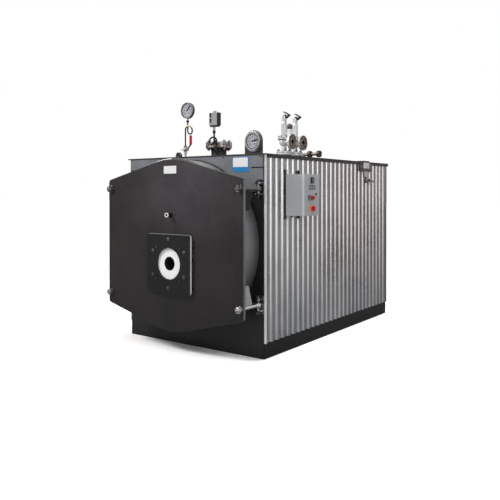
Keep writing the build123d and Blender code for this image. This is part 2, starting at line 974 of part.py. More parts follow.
# Sight glass tube over its hole in the door
with BuildPart() as sight_glass:
    with BuildSketch(upright(door_face)) as sight_section:
        with Locations((0, sight_height)):
            Circle(sight_radius)
    extrude(amount=sight_reach)
    with BuildSketch(upright(door_face - sight_reach)) as sight_window:
        with Locations((0, sight_height)):
            Circle(sight_bore)
    extrude(amount=-sight_recess, mode=Mode.SUBTRACT)
sight_glass.part.label = "sight_glass"
export_step(sight_glass.part, "parts/sight_glass.step")


# Washers and nuts on the door face, with the rod ends of the left side
nut_radius = nut_across_flats / 2 / cos(radians(30))
with BuildPart() as door_nuts:
    for side in (-1, 1):
        for rise in (-rod_rise, rod_rise):
            place = (side * rod_offset, drum_height + rise)
            with BuildSketch(upright(door_face)) as washer_outline:
                with Locations(place):
                    Circle(washer_radius)
            extrude(amount=washer_gauge)
            with BuildSketch(upright(door_face - washer_gauge)) as nut_outline:
                with Locations(place):
                    RegularPolygon(nut_radius, 6)
            extrude(amount=nut_height)
            with BuildSketch(upright(door_face)) as stud_section:
                with Locations(place):
                    Circle(rod_radius)
            stud_length = door_face - front + rod_end
            stud_mode = Mode.ADD if side < 0 else Mode.SUBTRACT
            extrude(amount=stud_length, mode=stud_mode)
door_nuts.part.label = "door_nuts"
export_step(door_nuts.part, "parts/door_nuts.step")


# Lifting eye welded on top of the drum
with BuildPart() as lifting_eye:
    with BuildSketch(upright(front - lift_reach - lift_gauge / 2)) as eye_outline:
        with Locations((0, drum_top)):
            Rectangle(
                2 * lift_radius, lift_height - lift_radius, align=(Align.CENTER, Align.MIN)
            )
        with Locations((0, drum_top + lift_height - lift_radius)):
            Circle(lift_radius)
        with Locations((0, drum_height)):
            Circle(drum_radius, mode=Mode.SUBTRACT)
    extrude(amount=-lift_gauge)
    eye_rims = lifting_eye.edges().filter_by_position(Axis.Z, drum_top + lift_edge, drum_top + lift_height)
    fillet(eye_rims.filter_by(Axis.Y, reverse=True), lift_edge)
    with BuildSketch(upright(front - lift_reach - lift_gauge / 2)) as eye_hole:
        with Locations((0, drum_top + lift_height - lift_radius)):
            Circle(lift_bore)
    extrude(amount=-lift_gauge, mode=Mode.SUBTRACT)
lifting_eye.part.label = "lifting_eye"
export_step(lifting_eye.part, "parts/lifting_eye.step")


# Space taken by the drum, which the fittings on its top are cut back to
with BuildPart() as drum_space:
    with BuildSketch(upright(door_back)) as drum_section:
        with Locations((0, drum_height)):
            Circle(drum_radius)
    extrude(amount=-(vessel_rear - door_back))


def bored_flange(radius, bolt_circle, bolt_count, bolt_hole, turn):
    """Outline of a drilled flange in the current sketch."""
    Circle(radius)
    with PolarLocations(bolt_circle / 2, bolt_count, start_angle=turn):
        Circle(bolt_hole, mode=Mode.SUBTRACT)


# Steam outlet neck with its flange, and the blank flange on top
steam_y = front + steam_back
steam_flange_bottom = case_height + steam_flange_rise
blank_bottom = steam_flange_bottom + steam_flange_gauge
with BuildPart() as steam_outlet:
    with BuildSketch(upright(steam_y)) as neck_profile:
        with BuildLine() as neck_line:
            Polyline(
                (steam_bore, drum_height),
                (steam_neck_radius, drum_height),
                (steam_neck_radius, steam_flange_bottom - steam_hub_height),
                (steam_neck_radius + steam_hub_flare, steam_flange_bottom),
                (steam_flange_radius, steam_flange_bottom),
                (steam_flange_radius, blank_bottom),
                (steam_bore, blank_bottom),
                close=True,
            )
        make_face()
    revolve(axis=Axis((0, steam_y, 0), (0, 0, 1)))
    with BuildSketch(level(steam_flange_bottom)) as steam_holes:
        with Locations((0, steam_y)):
            with PolarLocations(
                steam_bolt_circle / 2, steam_bolt_count, start_angle=180 / steam_bolt_count
            ):
                Circle(steam_bolt_hole)
    extrude(amount=steam_flange_gauge, mode=Mode.SUBTRACT)
    add(drum_space.part, mode=Mode.SUBTRACT)
steam_outlet.part.label = "steam_outlet"
export_step(steam_outlet.part, "parts/steam_outlet.step")

with BuildPart() as steam_blank_flange:
    with BuildSketch(level(blank_bottom)) as blank_outline:
        with Locations((0, steam_y)):
            bored_flange(
                steam_flange_radius,
                steam_bolt_circle,
                steam_bolt_count,
                steam_bolt_hole,
                180 / steam_bolt_count,
            )
    extrude(amount=steam_flange_gauge)
steam_blank_flange.part.label = "steam_blank_flange"
export_step(steam_blank_flange.part, "parts/steam_blank_flange.step")


def siphon(x, y, foot, loop_z, loop_radius, side, lean, top, pipe_radius):
    """Pigtail siphon: a riser, one full loop to one side, and a stem set off by the lean."""
    far = x + side * 2 * loop_radius
    high = loop_z + loop_radius
    low = loop_z - loop_radius
    with BuildPart() as pipe:
        with BuildLine() as pipe_path:
            FilletPolyline(
                (x, y, foot),
                (x, y, high),
                (far, y + lean / 3, high),
                (far, y + 2 * lean / 3, low),
                (x, y + lean, low),
                (x, y + lean, top),
                radius=loop_corner * loop_radius,
            )
        with BuildSketch(Plane((x, y, foot), z_dir=(0, 0, 1))) as pipe_section:
            Circle(pipe_radius)
        sweep()
    return pipe


# Pressure switch siphon and housing
switch_y = front + switch_back
switch_loop_z = case_height + switch_loop_rise
switch_nut_z = switch_loop_z + switch_loop_radius + switch_stem_length
pressure_siphon = siphon(
    switch_x,
    switch_y,
    case_height,
    switch_loop_z,
    switch_loop_radius,
    -1,
    switch_lean,
    switch_nut_z,
    switch_pipe_radius,
)
pressure_siphon.part.label = "pressure_siphon"
export_step(pressure_siphon.part, "parts/pressure_siphon.step")

switch_axis_y = switch_y + switch_lean
switch_foot_z = switch_nut_z + switch_nut_height + switch_neck_length
switch_box_z = switch_foot_z + switch_foot_height
with BuildPart() as pressure_switch:
    with BuildSketch(level(switch_nut_z)) as switch_nut:
        with Locations((switch_x, switch_axis_y)):
            RegularPolygon(switch_nut_radius, 6)
    extrude(amount=switch_nut_height)
    with BuildSketch(level(switch_nut_z + switch_nut_height)) as switch_neck:
        with Locations((switch_x, switch_axis_y)):
            Circle(switch_neck_radius)
    extrude(amount=switch_neck_length)
    with BuildSketch(level(switch_foot_z)) as switch_foot:
        with Locations((switch_x + switch_shift, switch_axis_y)):
            RectangleRounded(
                switch_width - 2 * switch_foot_inset,
                switch_depth - 2 * switch_foot_inset,
                switch_corner,
            )
    extrude(amount=switch_foot_height)
    with BuildSketch(level(switch_box_z)) as switch_outline:
        with Locations((switch_x + switch_shift, switch_axis_y)):
            RectangleRounded(switch_width, switch_depth, switch_corner)
    extrude(amount=switch_height)
    with BuildSketch(level(switch_box_z + switch_height)) as switch_knob:
        with Locations((switch_x + switch_shift, switch_axis_y)):
            Circle(switch_knob_radius)
    extrude(amount=switch_knob_height)
pressure_switch.part.label = "pressure_switch"
export_step(pressure_switch.part, "parts/pressure_switch.step")


# Gauge cock with its nuts, test port and spindle, and the cranked lever on the spindle
gauge_y = front + gauge_back
cock_height = case_height + cock_rise
cock_top = cock_height + cock_length / 2
with BuildPart() as gauge_cock:
    with BuildSketch(level(case_height)) as cock_riser:
        with Locations((gauge_x, gauge_y)):
            Circle(cock_riser_radius)
    extrude(amount=cock_rise)
    with BuildSketch(level(cock_height - cock_length / 2)) as cock_ends:
        with Locations((gauge_x, gauge_y)):
            RegularPolygon(cock_nut_radius, 6)
    extrude(amount=cock_length)
    with Locations((gauge_x, gauge_y, cock_height)):
        Sphere(cock_body_radius)
    with BuildSketch(facing_right(gauge_x)) as spindle_section:
        with Locations((gauge_y, cock_height)):
            Circle(spindle_radius)
    extrude(amount=spindle_reach)
    port_tilt = radians(cock_port_tilt)
    port_plane = Plane(
        (gauge_x, gauge_y, cock_height), z_dir=(-cos(port_tilt), 0, sin(port_tilt))
    )
    with BuildSketch(port_plane) as port_section:
        Circle(cock_port_radius)
    extrude(amount=cock_port_reach)
gauge_cock.part.label = "gauge_cock"
export_step(gauge_cock.part, "parts/gauge_cock.step")

lever_x = gauge_x + spindle_reach + spindle_fit + lever_gauge / 2
grip_x = lever_x + lever_crank_reach
grip_bottom = cock_height + lever_crank_end
with BuildPart() as gauge_cock_lever:
    with BuildSketch(upright(gauge_y)) as lever_profile:
        with BuildLine() as lever_line:
            Polyline(
                (lever_x, cock_height - lever_width / 2),
                (lever_x, cock_height + lever_crank_start),
                (grip_x, grip_bottom),
                (grip_x, grip_bottom + lever_grip_length),
            )
        trace(line_width=lever_gauge)
    extrude(amount=lever_width / 2, both=True)
    with BuildSketch(upright(gauge_y)) as grip_profile:
        with Locations((grip_x, grip_bottom)):
            Rectangle(lever_grip_gauge, lever_grip_length, align=(Align.CENTER, Align.MIN))
    extrude(amount=lever_width / 2 + lever_grip_margin, both=True)
gauge_cock_lever.part.label = "gauge_cock_lever"
export_step(gauge_cock_lever.part, "parts/gauge_cock_lever.step")

gauge_loop_z = cock_top + gauge_loop_rise
gauge_nut_z = gauge_loop_z + gauge_loop_radius + gauge_stem_length
gauge_siphon = siphon(
    gauge_x,
    gauge_y,
    cock_top,
    gauge_loop_z,
    gauge_loop_radius,
    1,
    gauge_lean,
    gauge_nut_z,
    gauge_pipe_radius,
)
gauge_siphon.part.label = "gauge_siphon"
export_step(gauge_siphon.part, "parts/gauge_siphon.step")


# Pressure gauge: round case with a recessed face, on its nut and stem
gauge_axis_y = gauge_y + gauge_lean
gauge_height = gauge_nut_z + gauge_nut_height + gauge_stem_rise + gauge_radius
with BuildPart() as pressure_gauge:
    with BuildSketch(upright(gauge_axis_y + gauge_depth / 2)) as gauge_case_outline:
        with Locations((gauge_x, gauge_height)):
            Circle(gauge_radius)
    extrude(amount=gauge_depth)
    with BuildSketch(upright(gauge_axis_y - gauge_depth / 2)) as gauge_face:
        with Locations((gauge_x, gauge_height)):
            Circle(gauge_radius - gauge_bezel)
    extrude(amount=-gauge_recess, mode=Mode.SUBTRACT)
    with BuildSketch(level(gauge_nut_z)) as gauge_nut:
        with Locations((gauge_x, gauge_axis_y)):
            RegularPolygon(gauge_nut_radius, 6)
    extrude(amount=gauge_nut_height)
    with BuildSketch(level(gauge_nut_z + gauge_nut_height)) as gauge_stem:
        with Locations((gauge_x, gauge_axis_y)):
            Circle(gauge_stem_radius)
    extrude(amount=gauge_stem_rise + gauge_bezel)
pressure_gauge.part.label = "pressure_gauge"
export_step(pressure_gauge.part, "parts/pressure_gauge.step")


# Upright bracket with a rounded head, and the flat dial gauge on it
dial_x = panel_half_width - dial_inset
dial_y = front + dial_back
dial_height = case_height + dial_lift + dial_flange_radius
bracket_half_width = dial_flange_radius + bracket_edge
with BuildPart() as dial_bracket:
    with BuildSketch(upright(dial_y)) as bracket_outline:
        with Locations((dial_x, case_height)):
            Rectangle(
                2 * bracket_half_width, dial_height - case_height, align=(Align.CENTER, Align.MIN)
            )
        with Locations((dial_x, dial_height)):
            Circle(bracket_half_width)
    extrude(amount=-bracket_gauge)
    with BuildSketch(level(case_height)) as bracket_foot_outline:
        with Locations((dial_x, dial_y)):
            Rectangle(2 * bracket_half_width, bracket_foot, align=(Align.CENTER, Align.MIN))
    extrude(amount=bracket_gauge)
dial_bracket.part.label = "dial_bracket"
export_step(dial_bracket.part, "parts/dial_bracket.step")

with BuildPart() as dial_gauge:
    with BuildSketch(upright(dial_y)) as dial_flange_outline:
        with Locations((dial_x, dial_height)):
            Circle(dial_flange_radius)
    extrude(amount=dial_flange_gauge)
    with BuildSketch(upright(dial_y)) as dial_body_outline:
        with Locations((dial_x, dial_height)):
            Circle(dial_radius)
    extrude(amount=dial_depth)
    with BuildSketch(upright(dial_y - dial_depth)) as dial_face_outline:
        with Locations((dial_x, dial_height)):
            Circle(dial_radius - dial_bezel)
    extrude(amount=-dial_recess, mode=Mode.SUBTRACT)
dial_gauge.part.label = "dial_gauge"
export_step(dial_gauge.part, "parts/dial_gauge.step")


# Safety valves: turned angle body with a flanged outlet, and a cap with its lifting lever
valve_foot_bottom = case_height + valve_foot_rise
valve_foot_top = valve_foot_bottom + valve_foot_gauge
valve_height = valve_foot_top + valve_outlet_rise
valve_body_bottom = valve_foot_top + valve_waist_length
valve_shoulder = valve_body_bottom + valve_body_length
valve_bonnet_foot = valve_shoulder + valve_bonnet_flange_gauge
valve_bonnet_bottom = valve_bonnet_foot + valve_bonnet_foot_length
valve_bonnet_end = valve_bonnet_bottom + valve_bonnet_length
valve_bonnet_top = valve_bonnet_end + valve_bonnet_neck_length


def safety_valve(y):
    """Angle body on its neck, with the outlet flange facing right."""
    with BuildPart() as body:
        with BuildSketch(upright(y)) as body_profile:
            with BuildLine() as body_line:
                Polyline(
                    (valve_waist_radius, valve_body_bottom),
                    (valve_waist_radius, valve_foot_top),
                    (valve_flange_radius, valve_foot_top),
                    (valve_flange_radius, valve_foot_bottom),
                    (valve_neck_radius, valve_foot_bottom),
                    (valve_neck_radius, drum_height),
                    (0, drum_height),
                    (0, valve_bonnet_top),
                    (valve_bonnet_top_radius, valve_bonnet_top),
                    (valve_bonnet_radius, valve_bonnet_end),
                    (valve_bonnet_radius, valve_bonnet_bottom),
                    (valve_bonnet_foot_radius, valve_bonnet_foot),
                    (valve_bonnet_flange_radius, valve_bonnet_foot),
                    (valve_bonnet_flange_radius, valve_shoulder),
                    (valve_shoulder_radius, valve_shoulder),
                )
                ThreePointArc(
                    (valve_shoulder_radius, valve_shoulder),
                    (valve_body_radius, (valve_body_bottom + valve_shoulder) / 2),
                    (valve_waist_radius, valve_body_bottom),
                )
            make_face()
        revolve(axis=Axis((0, y, 0), (0, 0, 1)))
        with BuildSketch(facing_right(0)) as outlet:
            with Locations((y, valve_height)):
                Circle(valve_neck_radius)
        extrude(amount=valve_reach)
        with BuildSketch(facing_right(valve_reach - valve_flange_gauge)) as outlet_flange:
            with Locations((y, valve_height)):
                bored_flange(valve_flange_radius, valve_bolt_circle, 4, valve_bolt_hole, 45)
        extrude(amount=valve_flange_gauge)
        with BuildSketch(facing_right(0)) as outlet_bore:
            with Locations((y, valve_height)):
                Circle(valve_bore)
        extrude(amount=valve_reach, mode=Mode.SUBTRACT)
        add(drum_space.part, mode=Mode.SUBTRACT)
    return body


def valve_cap(y):
    """Cap on the bonnet with its bent lifting lever, forked at the top."""
    with BuildPart() as cap:
        with BuildSketch(level(valve_bonnet_top)) as cap_section:
            with Locations((0, y)):
                Circle(valve_cap_radius)
        extrude(amount=valve_cap_height)
        fillet(cap.edges().sort_by(Axis.Z)[-1], valve_cap_radius / 2)
        with BuildSketch(upright(y)) as lever:
            with BuildLine() as lever_line:
                Polyline(
                    (0, valve_bonnet_top + valve_lever_foot),
                    (valve_lever_knee_reach, valve_bonnet_top + valve_lever_knee_rise),
                    (0, valve_bonnet_top + valve_lever_end_rise),
                )
            trace(line_width=valve_lever_width)
        extrude(amount=valve_lever_half_gauge, both=True)
        fork_start = valve_bonnet_top + valve_lever_knee_rise + valve_lever_width
        with BuildSketch(facing_right(-valve_cap_radius)) as fork_gap:
            with Locations((y, fork_start)):
                Rectangle(
                    2 * valve_fork_half_gap,
                    valve_lever_end_rise,
                    align=(Align.CENTER, Align.MIN),
                )
        extrude(amount=valve_cap_radius + valve_lever_knee_reach, mode=Mode.SUBTRACT)
    return cap


front_safety_valve = safety_valve(front + valve_backs[0])
front_safety_valve.part.label = "front_safety_valve"
export_step(front_safety_valve.part, "parts/front_safety_valve.step")

rear_safety_valve = safety_valve(front + valve_backs[1])
rear_safety_valve.part.label = "rear_safety_valve"
export_step(rear_safety_valve.part, "parts/rear_safety_valve.step")

front_valve_cap = valve_cap(front + valve_backs[0])
front_valve_cap.part.label = "front_valve_cap"
export_step(front_valve_cap.part, "parts/front_valve_cap.step")

rear_valve_cap = valve_cap(front + valve_backs[1])
rear_valve_cap.part.label = "rear_valve_cap"
export_step(rear_valve_cap.part, "parts/rear_valve_cap.step")


# Level probe standing between the valves, turned with a groove under its dome
probe_y = front + probe_back
probe_neck_top = case_height + probe_neck_rise
probe_body_top = probe_neck_top + probe_body_length
probe_dome_foot = probe_body_top + probe_groove_length
probe_dome_start = probe_dome_foot + probe_dome_base
probe_top = probe_dome_start + probe_dome_height
probe_groove_radius = probe_radius - probe_groove_depth
with BuildPart() as level_probe:
    with BuildSketch(upright(probe_y)) as probe_profile:
        with BuildLine() as probe_line:
            Polyline(
                (probe_radius, probe_dome_start),
                (probe_radius, probe_dome_foot),
                (probe_groove_radius, probe_dome_foot),
                (probe_groove_radius, probe_body_top),
                (probe_radius, probe_body_top),
                (probe_radius, probe_neck_top),
                (probe_neck_radius, probe_neck_top),
                (probe_neck_radius, drum_height),
                (0, drum_height),
                (0, probe_top),
            )
            ThreePointArc(
                (0, probe_top),
                (
                    probe_radius * sin(radians(45)),
                    probe_dome_start + probe_dome_height * cos(radians(45)),
                ),
                (probe_radius, probe_dome_start),
            )
        make_face()
    revolve(axis=Axis((0, probe_y, 0), (0, 0, 1)))
    add(drum_space.part, mode=Mode.SUBTRACT)
level_probe.part.label = "level_probe"
export_step(level_probe.part, "parts/level_probe.step")


# Feed inlet: an elbow out of the cover into two bolted flange pairs
feed_y = front + feed_back
feed_height = case_height + feed_rise
feed_end = cover_half_width - feed_inset
feed_x = feed_end - feed_length
with BuildPart() as feed_inlet:
    with BuildSketch(level(case_height)) as feed_riser:
        with Locations((feed_x, feed_y)):
            Circle(feed_pipe_radius)
    extrude(amount=feed_rise)
    with Locations((feed_x, feed_y, feed_height)):
        Sphere(feed_pipe_radius)
    with BuildSketch(facing_right(feed_x)) as feed_pipe:
        with Locations((feed_y, feed_height)):
            Circle(feed_pipe_radius)
    extrude(amount=feed_end - feed_x)
    for place in (feed_x + feed_joint_setback, feed_end - feed_flange_gauge):
        with BuildSketch(facing_right(place)) as feed_flange:
            with Locations((feed_y, feed_height)):
                bored_flange(feed_flange_radius, feed_bolt_circle, 4, feed_bolt_hole, 45)
        extrude(amount=feed_flange_gauge)
    with BuildSketch(facing_right(feed_x)) as feed_bore_section:
        with Locations((feed_y, feed_height)):
            Circle(feed_bore)
    extrude(amount=feed_end - feed_x, mode=Mode.SUBTRACT)
feed_inlet.part.label = "feed_inlet"
export_step(feed_inlet.part, "parts/feed_inlet.step")


# Bracket folded over the right edge of the cover, near the rear, on a plate with a strap
side_y = front + side_back
with BuildPart() as side_bracket:
    with BuildSketch(facing_right(cover_half_width)) as side_plate_outline:
        with Locations((side_y, case_height)):
            Rectangle(side_plate_width, side_plate_drop, align=(Align.CENTER, Align.MAX))
            Rectangle(side_strap_width, side_strap_drop, align=(Align.CENTER, Align.MAX))
    extrude(amount=side_plate_gauge)
    with BuildSketch(level(case_height)) as tongue_outline:
        with Locations((cover_half_width + side_bracket_gauge, side_y)):
            Rectangle(
                side_bracket_tongue + side_bracket_gauge,
                side_bracket_width,
                align=(Align.MAX, Align.CENTER),
            )
    extrude(amount=side_bracket_gauge)
    with BuildSketch(facing_right(cover_half_width)) as drop_outline:
        with Locations((side_y, case_height)):
            Rectangle(side_bracket_width, side_bracket_drop, align=(Align.CENTER, Align.MAX))
    extrude(amount=side_bracket_gauge)
side_bracket.part.label = "side_bracket"
export_step(side_bracket.part, "parts/side_bracket.step")


# Drain cock below the bracket, with a slanted handle
side_cock_y = side_y + side_cock_shift
side_cock_z = case_height - side_cock_drop
handle_face = crest_half_width + side_cock_depth - side_handle_gauge
with BuildPart() as side_cock:
    with BuildSketch(facing_right(crest_half_width)) as cock_foot:
        with Locations((side_cock_y, side_cock_z)):
            Circle(side_cock_radius)
    extrude(amount=side_cock_foot)
    with BuildSketch(facing_right(crest_half_width)) as cock_body:
        with Locations((side_cock_y, side_cock_z)):
            Circle(side_cock_body_radius)
    extrude(amount=side_cock_depth)
    with BuildSketch(facing_right(handle_face)) as handle_outline:
        with Locations(Location((side_cock_y, side_cock_z), side_handle_turn)):
            Rectangle(side_handle_length, side_handle_width, align=(Align.MIN, Align.CENTER))
    extrude(amount=side_handle_gauge)
side_cock.part.label = "side_cock"
export_step(side_cock.part, "parts/side_cock.step")


# Blowdown outlet through the rear panel
blowdown_end = rear + blowdown_reach
with BuildPart() as blowdown_outlet:
    with BuildSketch(upright(vessel_rear)) as blowdown_pipe:
        with Locations((blowdown_x, blowdown_height)):
            Circle(blowdown_pipe_radius)
    extrude(amount=-(blowdown_end - vessel_rear))
    with BuildSketch(upright(blowdown_end)) as blowdown_flange:
        with Locations((blowdown_x, blowdown_height)):
            bored_flange(blowdown_flange_radius, blowdown_bolt_circle, 4, blowdown_bolt_hole, 45)
    extrude(amount=blowdown_flange_gauge)
    with BuildSketch(upright(vessel_rear)) as blowdown_bore_section:
        with Locations((blowdown_x, blowdown_height)):
            Circle(blowdown_bore)
    extrude(amount=-(blowdown_end - vessel_rear), mode=Mode.SUBTRACT)
blowdown_outlet.part.label = "blowdown_outlet"
export_step(blowdown_outlet.part, "parts/blowdown_outlet.step")


# Control box: open steel case on two rails with knobs, and a cable gland underneath
box_front = front + box_back
box_top = case_height - box_drop
box_bottom = box_top - box_height
box_face = box_side + box_depth
rail_backs = (box_rail_inset, box_width - box_rail_inset - box_rail_width)
rail_knob_x = crest_half_width + box_standoff / 2
with BuildPart() as control_box_rails:
    with BuildSketch(level(box_bottom - box_rail_bottom)) as rail_outline:
        for offset_y in rail_backs:
            with Locations((crest_half_width, box_front + offset_y)):
                Rectangle(box_standoff, box_rail_width, align=(Align.MIN, Align.MIN))
    extrude(amount=box_rail_bottom + box_height + box_rail_top)
    for offset_y in rail_backs:
        with BuildSketch(upright(box_front + offset_y)) as rail_knobs:
            with Locations(
                (rail_knob_x, box_bottom - box_rail_bottom + rail_knob_inset),
                (rail_knob_x, box_top + box_rail_top - rail_knob_inset),
            ):
                Circle(rail_knob_radius)
        extrude(amount=rail_knob_reach)
control_box_rails.part.label = "control_box_rails"
export_step(control_box_rails.part, "parts/control_box_rails.step")

with BuildPart() as control_box:
    with BuildSketch(level(box_bottom)) as box_outline:
        with Locations((box_side, box_front)):
            Rectangle(box_depth, box_width, align=(Align.MIN, Align.MIN))
    extrude(amount=box_height)
    with BuildSketch(level(box_bottom + box_wall)) as box_inside:
        with Locations((box_side + box_wall + box_plate_gauge, box_front + box_wall)):
            Rectangle(box_depth, box_width - 2 * box_wall, align=(Align.MIN, Align.MIN))
    extrude(amount=box_height - 2 * box_wall, mode=Mode.SUBTRACT)
    with BuildSketch(level(box_bottom)) as gland_section:
        with Locations((box_side + gland_side_inset, box_front + gland_front_inset)):
            Circle(gland_radius)
    extrude(amount=-gland_reach)
control_box.part.label = "control_box"
export_step(control_box.part, "parts/control_box.step")

box_door_back = box_face + box_door_gap
with BuildPart() as control_box_door:
    with BuildSketch(level(box_bottom)) as box_door_outline:
        with Locations((box_door_back, box_front)):
            Rectangle(box_door_depth, box_width, align=(Align.MIN, Align.MIN))
    extrude(amount=box_height)
    with BuildSketch(level(box_bottom + box_wall)) as box_door_inside:
        with Locations((box_door_back - box_wall, box_front + box_wall)):
            Rectangle(box_door_depth, box_width - 2 * box_wall, align=(Align.MIN, Align.MIN))
    extrude(amount=box_height - 2 * box_wall, mode=Mode.SUBTRACT)
control_box_door.part.label = "control_box_door"
export_step(control_box_door.part, "parts/control_box_door.step")


# Instruments on the box door, from the meter down to the plate of the main switch
box_door_face = box_door_back + box_door_depth
box_middle = box_front + box_width / 2
with BuildPart() as box_instruments:
    with BuildSketch(facing_right(box_door_face)) as meter_outline:
        with Locations((box_middle, box_bottom + meter_rise)):
            Rectangle(meter_width, meter_height)
    extrude(amount=meter_gauge)
    with BuildSketch(facing_right(box_door_face)) as key_outlines:
        with Locations((box_middle, box_bottom + key_rise)):
            with GridLocations(key_spacing, key_row_spacing, 3, 2):
                Circle(key_radius)
    extrude(amount=key_reach)
    with BuildSketch(facing_right(box_door_face)) as selector_outline:
        with Locations((box_middle + selector_offset, box_bottom + selector_rise)):
            Rectangle(selector_width, selector_height)
    extrude(amount=selector_reach)
    with BuildSketch(facing_right(box_door_face)) as button_outline:
        with Locations((box_middle, box_bottom + button_rise)):
            Circle(button_radius)
    extrude(amount=button_reach)
    with BuildSketch(facing_right(box_door_face)) as lock_outline:
        with Locations((box_middle + lock_offset, box_bottom + lock_rise)):
            Circle(lock_radius)
    extrude(amount=lock_reach)
    with BuildSketch(facing_right(box_door_face)) as switch_plate_outline:
        with Locations((box_middle, box_bottom + knob_rise)):
            Rectangle(switch_plate_width, switch_plate_height)
    extrude(amount=switch_plate_gauge)
box_instruments.part.label = "box_instruments"
export_step(box_instruments.part, "parts/box_instruments.step")

knob_face = box_door_face + switch_plate_gauge + knob_fit
with BuildPart() as main_switch:
    with BuildSketch(facing_right(knob_face)) as knob_disc:
        with Locations((box_middle, box_bottom + knob_rise)):
            Circle(knob_radius)
    extrude(amount=knob_base)
    with BuildSketch(facing_right(knob_face)) as knob_grip:
        with Locations((box_middle, box_bottom + knob_rise)):
            Circle(knob_radius)
            Rectangle(knob_grip_width, 2 * knob_radius, mode=Mode.INTERSECT)
    extrude(amount=knob_height)
main_switch.part.label = "main_switch"
export_step(main_switch.part, "parts/main_switch.step")
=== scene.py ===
import json
import math
import random

import bmesh
import bpy
from mathutils import Matrix, Vector


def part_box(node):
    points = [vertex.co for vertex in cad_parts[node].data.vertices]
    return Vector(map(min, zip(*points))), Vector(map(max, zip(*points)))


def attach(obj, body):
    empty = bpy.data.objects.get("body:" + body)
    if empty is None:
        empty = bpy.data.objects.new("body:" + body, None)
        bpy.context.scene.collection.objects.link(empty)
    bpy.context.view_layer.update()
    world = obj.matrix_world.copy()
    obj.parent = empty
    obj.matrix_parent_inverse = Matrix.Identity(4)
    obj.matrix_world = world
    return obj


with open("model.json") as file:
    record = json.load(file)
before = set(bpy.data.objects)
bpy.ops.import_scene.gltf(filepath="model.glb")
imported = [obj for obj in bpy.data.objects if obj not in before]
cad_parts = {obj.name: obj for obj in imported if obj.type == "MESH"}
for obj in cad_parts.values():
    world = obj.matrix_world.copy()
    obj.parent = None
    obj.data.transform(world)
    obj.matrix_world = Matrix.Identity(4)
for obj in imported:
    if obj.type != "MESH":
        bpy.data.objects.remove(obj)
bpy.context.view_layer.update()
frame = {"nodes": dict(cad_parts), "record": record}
slot_of = {entry["node"]: entry["material_slot"] for entry in frame["record"]["subparts"]}
MM = 0.001
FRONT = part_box("front_panel_lower")[0][1]
LEFTWARD = (-1.0, 0.0, 0.0)
RIGHTWARD = (1.0, 0.0, 0.0)
FORWARD = (0.0, -1.0, 0.0)
REARWARD = (0.0, 1.0, 0.0)
UPWARD = (0.0, 0.0, 1.0)
DOWNWARD = (0.0, 0.0, -1.0)
SIDES = ((1.0, RIGHTWARD, "right"), (-1.0, LEFTWARD, "left"))

# Corrugation of the side sheets, in millimetres behind the casing's front
PITCH = 76.2
WAVES = 28
FIRST_CREST = 20.0
SHEET_LENGTH = 6 * PITCH
SEAMS = (248.6, 705.8, 1163.0, 1620.2)

# Thread on the door's rods: its pitch in millimetres, and its lean across the rod
THREAD_PITCH = 3.0
THREAD_LEAN = 260.0

# Safety valves, in millimetres above the cover
VALVE_FOOT = 76.0
VALVE_BONNET = 225.0
VALVE_OUTLET = 200.0


def box_of(name):
    """Low and high corner of a node's box."""
    return [Vector(corner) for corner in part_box(name)]


def back(value):
    """Y of a place behind the casing's front, from millimetres."""
    return FRONT + value * MM


def spot(x, behind, z):
    """Point from millimetres: to the right, behind the casing's front, above the floor."""
    return Vector((x * MM, back(behind), z * MM))


